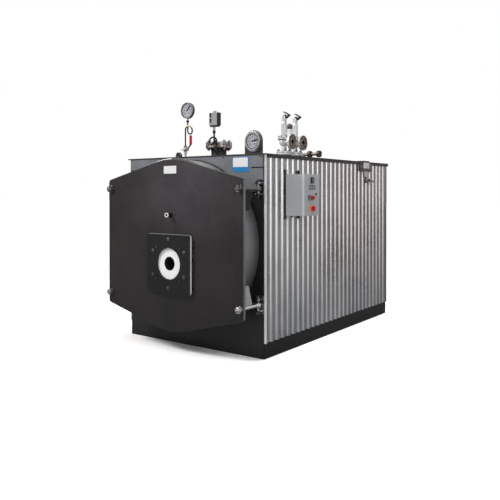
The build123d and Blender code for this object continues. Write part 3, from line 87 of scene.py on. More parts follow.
# Shader sums
class Value:
    """A socket in a node tree that takes part in Python sums."""

    def __init__(self, tree, socket=None):
        self.tree = tree
        self.socket = socket

    def node(self, kind, settings, inputs, output=0):
        """Adds a node, with its settings first and then its inputs, and wraps one output."""
        made = self.tree.nodes.new(kind)
        for name, value in settings.items():
            setattr(made, name, value)
        for name, value in inputs.items():
            if isinstance(value, Value):
                self.tree.links.new(value.socket, made.inputs[name])
            else:
                made.inputs[name].default_value = value
        return Value(self.tree, made.outputs[output])

    def math(self, operation, first, second=0.0):
        """One Math node."""
        return self.node("ShaderNodeMath", {"operation": operation}, {0: first, 1: second})

    def vector_math(self, operation, other, output=0):
        """One Vector Math node on this place and another."""
        settings = {"operation": operation}
        return self.node("ShaderNodeVectorMath", settings, {0: self, 1: other}, output)

    def __add__(self, other):
        return self.math("ADD", self, other)

    def __radd__(self, other):
        return self.math("ADD", other, self)

    def __sub__(self, other):
        return self.math("SUBTRACT", self, other)

    def __rsub__(self, other):
        return self.math("SUBTRACT", other, self)

    def __mul__(self, other):
        return self.math("MULTIPLY", self, other)

    def __rmul__(self, other):
        return self.math("MULTIPLY", other, self)

    def __lt__(self, other):
        return self.math("LESS_THAN", self, other)

    def __gt__(self, other):
        return self.math("GREATER_THAN", self, other)

    def part(self, index):
        """One coordinate of this place."""
        return self.node("ShaderNodeSeparateXYZ", {}, {0: self}, index)

    x = property(lambda self: self.part(0))
    y = property(lambda self: self.part(1))
    z = property(lambda self: self.part(2))

    def size(self):
        """How far this value is from zero."""
        return self.math("ABSOLUTE", self)

    def reach(self, other):
        """Length of the diagonal over this value and another."""
        return (self * self + other * other).power(0.5)

    def power(self, exponent):
        """This value to a power."""
        return self.math("POWER", self, exponent)

    def largest(self, other):
        """The larger of two values."""
        return self.math("MAXIMUM", self, other)

    def wave(self):
        """Sine of this value."""
        return self.math("SINE", self)

    def between(self, low, high):
        """One where this value lies between two others."""
        return (self > low) * (self < high)

    def ramp(self, low, high, start=0.0, end=1.0):
        """Maps low..high smoothly to start..end, held at both ends."""
        return self.node(
            "ShaderNodeMapRange",
            {"interpolation_type": "SMOOTHSTEP"},
            {"Value": self, "From Min": low, "From Max": high, "To Min": start, "To Max": end},
        )

    def mix(self, first, second):
        """Colour mix with this value as the factor."""
        inputs = {0: self, 6: first, 7: second}
        return self.node("ShaderNodeMix", {"data_type": "RGBA"}, inputs, output=2)

    def noise(self, scale, detail=3.0, roughness=0.5):
        """Noise over this place."""
        inputs = {"Vector": self, "Scale": scale, "Detail": detail, "Roughness": roughness}
        return self.node("ShaderNodeTexNoise", {}, inputs)

    def patches(self, scale, low, high, detail=2.0, roughness=0.5):
        """Irregular patches over this place."""
        return self.noise(scale, detail, roughness).ramp(low, high)

    def cells(self, scale):
        """Voronoi cells over this place."""
        return self.node("ShaderNodeTexVoronoi", {}, {"Vector": self, "Scale": scale})

    def stretched(self, x, y, z):
        """This place scaled along each axis."""
        return self.vector_math("MULTIPLY", (x, y, z))

    def dot(self, other):
        """Dot product of two directions."""
        return self.vector_math("DOT_PRODUCT", other, output=1)

    def near(self, centre, radius):
        """One inside a ball round a point."""
        return self.vector_math("DISTANCE", centre, output=1) < radius


def shade(value):
    """Grey as a colour."""
    return (value, value, value, 1.0)


def tint(red, green, blue):
    """Colour with full opacity."""
    return (red, green, blue, 1.0)


def finish(dark, light, rough, metal=0.0):
    """Colour range, gloss and metal share of one coat."""
    return {"dark": dark, "light": light, "rough": rough, "metal": metal}


def grey(dark, light, rough, metal=0.0):
    """A coat between two greys."""
    return finish(shade(dark), shade(light), rough, metal)


def shader_of(holder, kind):
    """The shader of a material or world, and a value to add nodes from."""
    holder.use_nodes = True
    tree = holder.node_tree
    return next(n for n in tree.nodes if n.type == kind), Value(tree)


def feed(shader, name, value):
    """Links a value to a shader input, or sets it."""
    if isinstance(value, Value):
        value.tree.links.new(value.socket, shader.inputs[name])
    else:
        shader.inputs[name].default_value = value


# Coats that several looks share, and colours that lie over every coat
BLACK = grey(0.006, 0.014, 0.42)
BLACK_STEEL = grey(0.012, 0.035, 0.4, 0.6)
BRIGHT_STEEL = grey(0.38, 0.6, 0.32, 0.9)
BROWN_PAINT = finish(tint(0.018, 0.013, 0.011), tint(0.04, 0.03, 0.026), 0.42)
BRONZE = finish(tint(0.07, 0.05, 0.04), tint(0.26, 0.2, 0.17), 0.45, 0.5)
YELLOW_BRASS = finish(tint(0.42, 0.28, 0.08), tint(0.7, 0.5, 0.2), 0.3, 0.9)
PINK_BRASS = finish(tint(0.42, 0.26, 0.2), tint(0.66, 0.46, 0.36), 0.35, 0.85)
ZINC = grey(0.45, 0.72, 0.22, 0.95)
DARK_ZINC = grey(0.03, 0.1, 0.3, 0.85)
SILVER = grey(0.6, 0.86, 0.36, 0.3)
RED = finish(tint(0.36, 0.008, 0.006), tint(0.56, 0.018, 0.012), 0.32)
DUST = tint(0.34, 0.32, 0.29)
SOOT = tint(0.012, 0.011, 0.010)
STREAK = shade(0.02)

# What slow drift and fine speck add to the roughness; half of their sum is the mean
DRIFT_ROUGH = 0.24
SPECK_ROUGH = 0.12

looks = {}


def surface(
    name,
    coat,
    zones=None,
    drift_scale=2.3,
    grain=90.0,
    bump=0.12,
    edge=None,
    edge_width=1.2,
    dust=0.0,
    streaks=0.0,
    relief=None,
    clear=0.0,
    soot=None,
    swell=0.5,
    gloss=0.5,
):
    """Adds a look with drifting colour, uneven gloss, pale edges that are partly wear and partly
    a painted highlight, dust and fine relief.

    zones, relief and soot are functions of the place: coats over parts of it, extra height,
    and a darkening share. edge_width is in millimetres.
    """
    made = bpy.data.materials.new(name)
    shader, root = shader_of(made, "BSDF_PRINCIPLED")
    place = root.node("ShaderNodeTexCoord", {}, {}, "Object")
    facing = root.node("ShaderNodeNewGeometry", {}, {}, "Normal")
    drift = place.noise(drift_scale, 4.0, 0.6)
    speck = place.noise(grain, 3.0, 0.6)
    tone = (drift * 0.6 + speck * 0.4).ramp(0.36, 0.64)
    colour = tone.mix(coat["dark"], coat["light"])
    mean_rough = coat["rough"] - (DRIFT_ROUGH + SPECK_ROUGH) / 2
    rough = drift * DRIFT_ROUGH + speck * SPECK_ROUGH + mean_rough
    metal = coat["metal"]
    if zones:
        for mask, other in zones(place):
            colour = mask.mix(colour, tone.mix(other["dark"], other["light"]))
            rough = rough + mask * (other["rough"] - coat["rough"])
            metal = metal + mask * (other["metal"] - metal)
    rounded = place.node("ShaderNodeBevel", {"samples": 4}, {"Radius": edge_width * MM})
    # Paler colour on rounded edges: partly wear, partly a painted highlight
    if edge:
        turned = 1.0 - rounded.dot(facing)
        worn = (turned * 6.0 + speck * 0.5).ramp(0.5, 0.75)
        colour = worn.mix(colour, edge)
    if streaks:
        run = place.stretched(60.0, 60.0, 1.3).noise(1.0, 4.0, 0.65)
        colour = (run.ramp(0.5, 0.72) * streaks).mix(colour, STREAK)
        rough = rough + run.ramp(0.5, 0.7) * 0.12
    if soot:
        colour = soot(place).mix(colour, SOOT)
    if dust:
        settled = facing.z.ramp(0.35, 0.95) * place.patches(14.0, 0.42, 0.7, 4.0, 0.7)
        colour = (settled * dust).mix(colour, DUST)
        rough = rough + settled * (dust * 0.5)
    feed(shader, "Base Color", colour)
    feed(shader, "Metallic", metal)
    feed(shader, "Roughness", rough)
    shader.inputs["Specular IOR Level"].default_value = gloss
    shader.inputs["Coat Weight"].default_value = clear
    shader.inputs["Coat Roughness"].default_value = 0.08
    height = place.noise(grain * 2.6, 2.0) * 0.5 + drift * swell
    if relief:
        height = height + relief(place)
    inputs = {"Strength": bump, "Distance": 2.0 * MM, "Height": height, "Normal": rounded}
    feed(shader, "Normal", rounded.node("ShaderNodeBump", {}, inputs))
    looks[name] = made


# Zones: coats over parts of a node, later ones over earlier ones
def switch_zones(place):
    """Light front cover and knob, dark body, black foot, steel neck and black nut."""
    z = place.z
    low, high = box_of("pressure_switch")
    cover_back = low.y + 13.0 * MM
    cover_side = high.x - 8.0 * MM
    knob_foot = high.z - 14.5 * MM
    case_foot = low.z + 52.0 * MM
    return [
        ((place.y > cover_back).largest(place.x > cover_side), BLACK),
        (z > knob_foot, grey(0.26, 0.4, 0.45)),
        (z < case_foot + 11.0 * MM, BLACK),
        (z < case_foot, grey(0.45, 0.62, 0.35, 0.6)),
        (z < low.z + 22.0 * MM, BLACK_STEEL),
    ]


def instrument_zones(place):
    """Yellow plate, two-colour selector, red button, green lock and black keys."""
    y, z = place.y, place.z
    low, high = box_of("control_box_door")
    middle = (low.y + high.y) / 2
    selector = y < middle - 30 * MM
    button = y.between(middle - 20 * MM, middle + 20 * MM)
    yellow = finish(tint(0.62, 0.26, 0.03), tint(0.8, 0.42, 0.06), 0.45)
    green = finish(tint(0.05, 0.16, 0.12), tint(0.1, 0.26, 0.2), 0.4)
    purple = finish(tint(0.2, 0.06, 0.22), tint(0.3, 0.1, 0.32), 0.4)
    dark_green = finish(tint(0.01, 0.05, 0.03), tint(0.02, 0.09, 0.05), 0.35)
    return [
        (z < low.z + 85 * MM, yellow),
        (z.between(low.z + 100 * MM, low.z + 160 * MM) * selector, green),
        (z.between(low.z + 138 * MM, low.z + 160 * MM) * selector, purple),
        (z.between(low.z + 115 * MM, low.z + 155 * MM) * button, RED),
        (y > middle + 30 * MM, dark_green),
    ]


def door_edge_zones(place):
    """Pale edge of the control box door."""
    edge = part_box("control_box_door")[0][1] + 1.0 * MM
    return [(place.y < edge, grey(0.8, 0.9, 0.4))]


def box_zones(place):
    """Black cable gland under the box."""
    return [(place.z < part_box("control_box_door")[0][2] - 1.0 * MM, BLACK)]


def cock_zones(place):
    """Pale riser and lower nut, bright and black upper nut, pale port and black stem."""
    x, z = place.x, place.z
    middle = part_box("gauge_cock_lever")[0][2] + 9.0 * MM
    riser_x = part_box("gauge_cock")[0][0] + 48.0 * MM
    return [
        (z < middle - 17.0 * MM, grey(0.45, 0.68, 0.4, 0.4)),
        (z > middle + 17.0 * MM, BRIGHT_STEEL),
        (z > middle + 26.0 * MM, BLACK_STEEL),
        (x < riser_x - 8.0 * MM, grey(0.4, 0.6, 0.4, 0.5)),
        (x > riser_x + 16.0 * MM, BLACK_STEEL),
    ]


def gauge_zones(place):
    """Painted shade on the right half of the case's side, reddish stem and black nut."""
    low, high = box_of("pressure_gauge")
    side = (place.y > low.y + 2.5 * MM) * (place.x > (low.x + high.x) / 2)
    return [
        # Painted shade: the right half of the case's side darkened
        (side, finish(tint(0.03, 0.022, 0.02), tint(0.09, 0.068, 0.06), 0.35, 0.6)),
        (place.z < low.z + 33.0 * MM, PINK_BRASS),
        (place.z < low.z + 18.0 * MM, BLACK_STEEL),
    ]


def dial_zones(place):
    """Painted shade on the side of the dial gauge's bezel, in front of its bright flange."""
    low, high = box_of("dial_gauge")
    # Painted shade on the bezel's side
    return [(place.y.between(low.y + 3.0 * MM, high.y - 6.5 * MM), DARK_ZINC)]


def siphon_zones(place):
    """One brass coupling on the loop."""
    low, high = box_of("gauge_siphon")
    coupling = (high.x - 31.0 * MM, (low.y + high.y) / 2, high.z - 44.0 * MM)
    return [(place.near(coupling, 24.0 * MM), YELLOW_BRASS)]


def sight_zones(place):
    """Dark stub behind the white ring."""
    return [(place.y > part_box("sight_glass")[0][1] + 8.0 * MM, BLACK_STEEL)]


def probe_zones(place):
    """Black band in the groove and a brown dome."""
    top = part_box("level_probe")[1][2]
    return [(place.z > top - 55.0 * MM, BLACK), (place.z > top - 33.0 * MM, BRONZE)]


def outlet_masks(place, name):
    """The face of an outlet flange, and the painted shade inside its bore and bolt holes."""
    x = place.x
    low, high = box_of(name)
    middle_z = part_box("top_cover")[1][2] + VALVE_OUTLET * MM
    away = (place.y - (low.y + high.y) / 2).reach(place.z - middle_z)
    face = (x > high.x - 1.0 * MM) * (away < 73.0 * MM)
    # Painted shade: black inside the bore and on the face round it
    painted_bore_shade = (x > high.x - 60.0 * MM) * (away < 25.0 * MM)
    flange = x.between(high.x - 21.0 * MM, high.x - 1.0 * MM)
    return face, painted_bore_shade.largest(flange * away.between(40.0 * MM, 70.0 * MM))


def valve_zones(place):
    """Burnt bronze faces on the outlet flanges, and painted shade in the bores and bolt holes."""
    masks = []
    for name in ("front_safety_valve", "rear_safety_valve"):
        face, painted_bore_shade = outlet_masks(place, name)
        burnt = face * place.patches(40.0, 0.5, 0.62, 3.0, 0.6)
        masks += [(face, BRONZE), (burnt, PINK_BRASS), (painted_bore_shade, BLACK)]
    return masks


def cap_zones(place):
    """Silver cap under the dark lifting lever."""
    x = place.x
    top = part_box("front_valve_cap")[1][2]
    steepness = 1.1
    below_lever = x + place.z * steepness < top * steepness - 33.0 * MM
    return [((x < 24.5 * MM) * below_lever, SILVER)]


def lever_zones(place):
    """Bright steel below the red grip."""
    return [(place.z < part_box("gauge_cock_lever")[1][2] - 76.0 * MM, BRIGHT_STEEL)]


def hinge_zones(place):
    """Darker patches on the hinges, and black patches of painted shade on the upper ones."""
    between_hinges = 0.9
    # Painted shade: black patches on the upper hinges
    upper = (place.z > between_hinges) * place.patches(30.0, 0.4, 0.5)
    return [(place.patches(36.0, 0.44, 0.54), DARK_ZINC), (upper, BLACK_STEEL)]


def nut_zones(place):
    """Dark washers behind the door nuts, and patches of painted shade on the upper nuts."""
    low, high = box_of("door_nuts")
    washer = place.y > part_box("door_plate")[0][1] - 5.5 * MM
    # Painted shade in patches on the upper nuts
    upper = (place.z > (low.z + high.z) / 2) * place.patches(60.0, 0.4, 0.5)
    return [(upper, DARK_ZINC), (washer, BLACK_STEEL)]


def rod_zones(place):
    """Painted highlight and painted shade along the lower rod, painted shade on the upper rod,
    and painted gussets with painted shade on the upper one.
    """
    z = place.z
    low, high = box_of("right_rods")
    above_axis = z - (low.z + 17.0 * MM)
    upper = z > (low.z + high.z) / 2
    gusset = z.between(low.z + 34.0 * MM, high.z - 34.0 * MM)
    return [
        # Painted highlight along the top of the lower rod, painted shade along its underside
        (above_axis.between(0.0, 10.0 * MM), grey(0.86, 0.95, 0.25, 0.85)),
        (above_axis < -5.0 * MM, grey(0.14, 0.34, 0.3, 0.6)),
        # Painted shade on the upper rod and the upper gusset
        (upper, grey(0.09, 0.16, 0.35, 0.3)),
        (upper * (z < high.z - 24.0 * MM), BLACK),
        (gusset, grey(0.26, 0.5, 0.4, 0.2)),
        (gusset * upper, BLACK),
    ]


def ring_zones(place):
    """Near-black painted shade in the throat inside the white ring."""
    low, high = box_of("burner_ring")
    away = place.x.reach(place.z - (low.z + high.z) / 2)
    # Painted shade: near black inside the throat and deep in the recess
    inside = (away < 53.0 * MM).largest(place.y > low.y + 6.0 * MM)
    return [(inside, grey(0.004, 0.012, 0.9))]


def plate_zones(place):
    """Pale metal on the right edge of the burner plate as a painted highlight, and a dimmer
    painted highlight along its top.
    """
    x, y = place.x, place.y
    low, high = box_of("burner_plate")
    bare = finish(tint(0.66, 0.65, 0.65), tint(0.8, 0.79, 0.78), 0.4, 0.2)
    dull = finish(tint(0.14, 0.13, 0.13), tint(0.3, 0.29, 0.28), 0.4, 0.2)
    front_edge = y < low.y + 15.0 * MM
    side = (x > high.x - 12.0 * MM) * (y > low.y + 1.0 * MM)
    # Painted highlights on the top and right edges
    return [
        ((place.z > high.z - 4.0 * MM) * front_edge, dull),
        (side.largest(x > high.x - 2.0 * MM) * front_edge, bare),
    ]


def door_zones(place):
    """Painted sheen on the door's middle, painted shade towards its foot and a painted highlight
    on its right edge.
    """
    low, high = box_of("door_plate")
    light_x, light_z = 0.15, 1.3
    away = (place.x - light_x).reach(place.z - light_z)
    painted_sheen = finish(tint(0.034, 0.031, 0.036), tint(0.056, 0.051, 0.058), 0.36)
    foot = finish(tint(0.008, 0.007, 0.0065), tint(0.015, 0.013, 0.012), 0.42)
    front_face = place.y < low.y + 2.0 * MM
    return [
        # Painted sheen round the middle, then painted shade towards the foot
        (away.ramp(0.0, 0.75, 1.0, 0.0) * front_face, painted_sheen),
        (place.z.ramp(0.2, 0.75, 1.0, 0.0) * front_face, foot),
        # Painted highlight on the door's right side face
        (place.x > high.x - 2.0 * MM, grey(0.12, 0.2, 0.4, 0.3)),
    ]


def panel_zones(place):
    """Painted shade: a dark line along the slits of the upper panel."""
    slit_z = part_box("front_panel_upper")[1][2] - 98.0 * MM
    # Painted shade along and past the slits
    line = ((place.z - slit_z).size() < 5.0 * MM) * (place.x.size() > 594.0 * MM)
    return [(line * (place.y < 0.0), BLACK)]


def rail_zones(place):
    """Pale rail ends above and below the box."""
    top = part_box("control_box")[1][2]
    ends = (place.z > top + 1.0 * MM).largest(place.z < top - 314.0 * MM)
    rail = place.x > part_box("control_box_rails")[1][0] - 1.0 * MM
    return [(ends * rail, grey(0.3, 0.45, 0.4, 0.4))]


def cover_zones(place):
    """Black left edge of the cover."""
    return [(place.x < -0.7, BLACK)]


def drum_zones(place):
    """Painted shade on the drum, deepening towards the casing's front."""
    # Painted shade towards the casing
    return [(place.y.ramp(back(-150.0), back(0.0), 0.0, 0.66), BLACK)]


def flange_zones(place):
    """Lighter worn patches on the steam flanges and a dark neck."""
    worn = finish(tint(0.4, 0.37, 0.34), tint(0.66, 0.62, 0.58), 0.35, 0.5)
    dark = finish(tint(0.02, 0.018, 0.018), tint(0.06, 0.055, 0.055), 0.5, 0.4)
    neck = place.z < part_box("steam_outlet")[1][2] - 24.0 * MM
    return [(place.patches(34.0, 0.46, 0.56, 3.0, 0.6), worn), (neck, dark)]


def bracket_zones(place):
    """Grey base plate with brown corners under the pale folded bracket."""
    y, z = place.y, place.z
    low, high = box_of("side_bracket")
    base = place.x < high.x - 3.0 * MM
    folded = 1.0 - base
    strap_top = high.z - 99.0 * MM
    grey = finish(tint(0.06, 0.056, 0.054), tint(0.4, 0.38, 0.37), 0.35, 0.6)
    strap = finish(tint(0.55, 0.5, 0.49), tint(0.75, 0.7, 0.68), 0.35, 0.7)
    patch = place.patches(45.0, 0.46, 0.54)
    return [
        (base, grey),
        (folded * (patch * 0.35), grey),
        (folded * (y > low.y + 245.0 * MM), grey),
        (z < strap_top, strap),
        (base * (z > strap_top) * patch, BROWN_PAINT),
        (base * (y < low.y + 70.0 * MM) * (z > high.z - 45.0 * MM), BROWN_PAINT),
        (z > high.z - 17.0 * MM, BROWN_PAINT),
    ]


def feed_zones(place):
    """Tan pipe up to the first joint and between the joints."""
    x = place.x
    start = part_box("feed_inlet")[0][0]
    tan = finish(tint(0.16, 0.12, 0.085), tint(0.34, 0.27, 0.2), 0.4, 0.8)
    return [(x < start + 55.0 * MM, tan), (x.between(start + 80.0 * MM, start + 143.0 * MM), tan)]


def name_plate_zones(place):
    """Blue border and blue lower band on the white plate."""
    blue = finish(tint(0.01, 0.2, 0.5), tint(0.03, 0.28, 0.62), 0.35)
    wide = place.x.between(422.0 * MM, 560.0 * MM)
    white = wide * place.z.between(1405.0 * MM, 1474.0 * MM)
    return [(1.0 - white, blue)]


def rope_zones(place):
    """Painted highlight: white rope left of the middle."""
    # Painted highlight on the left part of the rope
    rope_highlight = finish(tint(0.78, 0.77, 0.75), tint(0.9, 0.89, 0.87), 0.8)
    return [(place.x.between(-0.2, -0.01), rope_highlight)]


def sheet_zones(place):
    """Brown rear, bluish foot, uneven sheets, painted highlight stripes on the slopes, front
    folds painted white as a highlight, and a painted shadow line inside them.
    """
    y, z = place.y, place.z
    brown = finish(tint(0.31, 0.245, 0.222), tint(0.43, 0.36, 0.335), 0.28, 0.9)
    bluish = finish(tint(0.22, 0.245, 0.27), tint(0.32, 0.345, 0.375), 0.3, 0.9)
    darker = finish(tint(0.36, 0.34, 0.33), tint(0.5, 0.47, 0.46), 0.28, 0.9)
    slope_highlight = finish(tint(0.64, 0.64, 0.65), tint(0.76, 0.75, 0.75), 0.3, 0.8)
    bright = finish(tint(0.92, 0.88, 0.86), tint(1.0, 0.95, 0.93), 0.28, 0.7)
    bands = [(y.ramp(-0.8, 0.4), brown), (z.ramp(0.1, 1.0, 0.8, 0.0), bluish)]
    for start in (SEAMS[0] - SHEET_LENGTH, SEAMS[1], SEAMS[3]):
        sheet = y.between(back(start), back(start + SHEET_LENGTH))
        bands.append((sheet * 0.3, darker))
    start = back(FIRST_CREST - PITCH / 4)
    slope = ((y - start) * (2.0 * math.pi / (PITCH * MM)) + math.pi / 2).wave()
    least = y.ramp(-1.0, 1.0, 0.9, 0.82) + z.ramp(0.1, 1.0, 0.03, 0.0)
    stripe = slope.ramp(least, least + 0.08)
    return bands + [
        # Painted highlight stripes along the front-facing slopes of the corrugation
        (stripe * z.ramp(0.1, 1.1, 0.55, 1.0), slope_highlight),
        (stripe * y.ramp(-0.4, 0.5) * z.ramp(0.2, 1.3, 0.1, 1.0), bright),
        # Painted highlight: the front folds in white
        (y < back(9.0), grey(0.9, 0.98, 0.5)),
        # Painted shadow: black line inside the folds
        ((y < back(1.7)) * (place.x.size() < 694.0 * MM), BLACK),
    ]


# Soot and relief
def lining_soot(place):
    """Patchy soot on the lining."""
    return place.patches(6.0, 0.35, 0.75, 4.0, 0.7) * 0.75


def drum_soot(place):
    """Burnt inside of the drum."""
    low, high = box_of("boiler_shell")
    middle = (low.z + high.z) / 2
    inside = place.x.reach(place.z - middle) < (high.z - middle) - 6.0 * MM
    return inside * 0.85


def thread(place):
    """Fine thread along Y in front of the door."""
    y = place.y
    turns = y * (2.0 * math.pi / (THREAD_PITCH * MM)) + place.x * THREAD_LEAN
    return (turns.wave() * 0.8) * (y < back(-190.0))


def stucco(place):
    """Embossed sheet."""
    return place.cells(420.0) * 1.1 + place.noise(700.0, 2.0) * 0.5


def spangle(place):
    """Crystals of a zinc coat."""
    return place.cells(60.0) * 0.3


def strands(place):
    """Strands of a fibre rope."""
    return place.cells(220.0) * 1.5


# Looks of the casing, the vessel and the door
surface("black_base", BLACK, zones=rail_zones, edge=shade(0.05), dust=0.25, gloss=0.24)
surface(
    "panel_dark", finish(tint(0.008, 0.0085, 0.0095), tint(0.016, 0.017, 0.019), 0.42), dust=0.2
)
surface(
    "panel_grey",
    finish(tint(0.145, 0.155, 0.168), tint(0.205, 0.22, 0.238), 0.42),
    zones=panel_zones,
    edge=tint(0.2, 0.21, 0.23),
    dust=0.2,
)
surface(
    "sheet_metal",
    finish(tint(0.43, 0.425, 0.41), tint(0.56, 0.555, 0.54), 0.28, 0.9),
    zones=sheet_zones,
    grain=260.0,
    bump=0.05,
    streaks=0.08,
    relief=stucco,
    swell=0.0,
)
surface(
    "cover_brown",
    finish(tint(0.016, 0.012, 0.0115), tint(0.034, 0.026, 0.025), 0.42),
    zones=cover_zones,
    edge=tint(0.07, 0.06, 0.06),
    dust=0.14,
)
surface(
    "drum_grey",
    finish(tint(0.13, 0.135, 0.14), tint(0.19, 0.195, 0.205), 0.4),
    zones=drum_zones,
    soot=drum_soot,
    dust=0.2,
)
surface(
    "sooted_steel",
    finish(tint(0.02, 0.018, 0.016), tint(0.07, 0.058, 0.05), 0.75, 0.3),
    bump=0.4,
    grain=60.0,
)
surface(
    "door_paint",
    finish(tint(0.0135, 0.0105, 0.0105), tint(0.023, 0.0185, 0.0185), 0.4),
    zones=door_zones,
    gloss=0.4,
    drift_scale=3.2,
    # Pale door edges: wear and a painted highlight
    edge=tint(0.12, 0.1, 0.09),
    dust=0.25,
)
surface(
    "burner_plate_paint",
    finish(tint(0.006, 0.005, 0.0055), tint(0.0115, 0.01, 0.011), 0.45),
    zones=plate_zones,
    edge=tint(0.1, 0.1, 0.1),
    gloss=0.3,
)
surface(
    "ring_refractory",
    finish(tint(0.9, 0.9, 0.9), tint(0.97, 0.97, 0.97), 0.9),
    zones=ring_zones,
    drift_scale=30.0,
    grain=240.0,
    bump=0.15,
)
surface(
    "lining",
    finish(tint(0.42, 0.4, 0.37), tint(0.62, 0.6, 0.56), 0.95),
    drift_scale=12.0,
    grain=160.0,
    bump=0.7,
    soot=lining_soot,
)
surface(
    "rope",
    finish(tint(0.1, 0.095, 0.09), tint(0.2, 0.19, 0.18), 0.9),
    zones=rope_zones,
    bump=0.8,
    relief=strands,
)

# Looks of the rods, nuts and hinges
surface("zinc", ZINC, relief=thread, edge=shade(0.7), bump=0.2)
surface("nut_zinc", ZINC, zones=nut_zones, relief=thread, edge=shade(0.7), bump=0.2)
surface("right_rod", ZINC, zones=rod_zones, relief=thread, edge=shade(0.7))
surface("hinge_steel", grey(0.42, 0.66, 0.24, 0.92), zones=hinge_zones, edge=shade(0.7))
surface("dark_steel", BLACK_STEEL, edge=shade(0.12))
# Pale edges paint highlights on the black lifting eye
surface("eye_steel", grey(0.02, 0.12, 0.35, 0.7), edge=shade(0.4))
surface("bolt_grey", grey(0.05, 0.13, 0.4, 0.6), edge=shade(0.22))
surface("bolt_pale", grey(0.16, 0.42, 0.35, 0.6), edge=shade(0.5))
surface("gasket_black", BLACK, gloss=0.15)

# Looks of the fittings
surface(
    "flange_bronze",
    BRONZE,
    zones=flange_zones,
    edge=tint(0.4, 0.36, 0.33),
    bump=0.3,
    dust=0.12,
)
surface("valve_body", SILVER, zones=valve_zones, edge=shade(0.8), bump=0.3, dust=0.15)
surface("cap_and_lever", BLACK_STEEL, zones=cap_zones, edge=shade(0.3))
surface("probe_body", grey(0.66, 0.88, 0.4, 0.2), zones=probe_zones, edge=shade(0.75))
surface("gauge_case", grey(0.5, 0.72, 0.2, 1.0), zones=dial_zones, bump=0.05)
surface("gauge_case_and_stem", grey(0.3, 0.5, 0.2, 1.0), zones=gauge_zones, bump=0.05)
surface("siphon_pipe", grey(0.03, 0.09, 0.35, 0.8), zones=siphon_zones)
surface("cock_body", finish(shade(0.16), tint(0.34, 0.3, 0.24), 0.36, 0.8), zones=cock_zones)
surface(
    "lever_red",
    finish(tint(0.42, 0.005, 0.022), tint(0.58, 0.012, 0.04), 0.36),
    zones=lever_zones,
    edge_width=2.0,
    gloss=0.3,
)
surface("switch_grey", grey(0.26, 0.34, 0.5), zones=switch_zones, edge_width=3.0)
surface(
    "brass",
    finish(tint(0.035, 0.028, 0.026), tint(0.12, 0.1, 0.09), 0.4, 0.7),
    zones=feed_zones,
    edge=tint(0.3, 0.27, 0.25),
    bump=0.2,
)
surface(
    "galvanised",
    finish(tint(0.3, 0.27, 0.27), tint(0.5, 0.46, 0.46), 0.42, 0.75),
    drift_scale=20.0,
    relief=spangle,
)
surface(
    "side_bracket",
    finish(tint(0.8, 0.74, 0.73), tint(0.95, 0.9, 0.89), 0.4, 0.3),
    zones=bracket_zones,
)
surface("sight_ring", grey(0.84, 0.94, 0.35, 0.2), zones=sight_zones)
surface("sight_pane", grey(0.004, 0.01, 0.12), bump=0.01, clear=1.0)

# Looks of the control box, the plates and the dials
surface(
    "box_grey",
    finish(tint(0.53, 0.565, 0.59), tint(0.63, 0.665, 0.69), 0.45),
    zones=box_zones,
    edge=tint(0.5, 0.51, 0.52),
    edge_width=2.0,
    dust=0.3,
)
surface(
    "box_door_paint",
    finish(tint(0.31, 0.325, 0.33), tint(0.4, 0.415, 0.42), 0.45),
    zones=door_edge_zones,
    edge=tint(0.5, 0.51, 0.52),
    edge_width=2.0,
    dust=0.3,
)
surface("instrument_black", BLACK, zones=instrument_zones)
surface(
    "switch_red", finish(tint(0.62, 0.006, 0.02), tint(0.76, 0.015, 0.035), 0.3), edge_width=2.0
)
surface("meter_window", finish(tint(0.02, 0.03, 0.03), tint(0.05, 0.06, 0.06), 0.2), clear=1.0)
surface("white_plate", grey(0.84, 0.9, 0.35), zones=name_plate_zones, bump=0.03, clear=0.3)
surface("white_label", grey(0.8, 0.87, 0.4), bump=0.03)
surface(
    "face_white", finish(tint(0.36, 0.36, 0.4), tint(0.43, 0.43, 0.48), 0.3), bump=0.01, clear=1.0
)
surface("face_black", BLACK, bump=0.02, gloss=0.1)

# A node takes the look that is named like its slot, unless it has one of its own
OWN_LOOK = {
    "burner_plate": "burner_plate_paint",
    "burner_ring": "ring_refractory",
    "control_box_door": "box_door_paint",
    "door_lining": "lining",
    "door_nuts": "nut_zinc",
    "front_safety_valve": "valve_body",
    "front_valve_cap": "cap_and_lever",
    "gauge_cock": "cock_body",
    "gauge_siphon": "siphon_pipe",
    "hinge_lugs": "hinge_steel",
    "hinge_pins": "hinge_steel",
    "level_probe": "probe_body",
    "lifting_eye": "eye_steel",
    "main_switch": "switch_red",
    "pressure_gauge": "gauge_case_and_stem",
    "rear_safety_valve": "valve_body",
    "rear_valve_cap": "cap_and_lever",
    "right_rods": "right_rod",
    "side_bracket": "side_bracket",
    "sight_glass": "sight_ring",
}
for node_name, node in frame["nodes"].items():
    node.data.materials.clear()
    node.data.materials.append(looks[OWN_LOOK.get(node_name, slot_of[node_name])])


# Mesh building
def turn_to(direction, spin=0.0):
    """Rotation that takes up to a direction."""
    turn = Vector(direction).to_track_quat("Z", "Y").to_matrix().to_4x4()
    return turn @ Matrix.Rotation(math.radians(spin), 4, "Z")


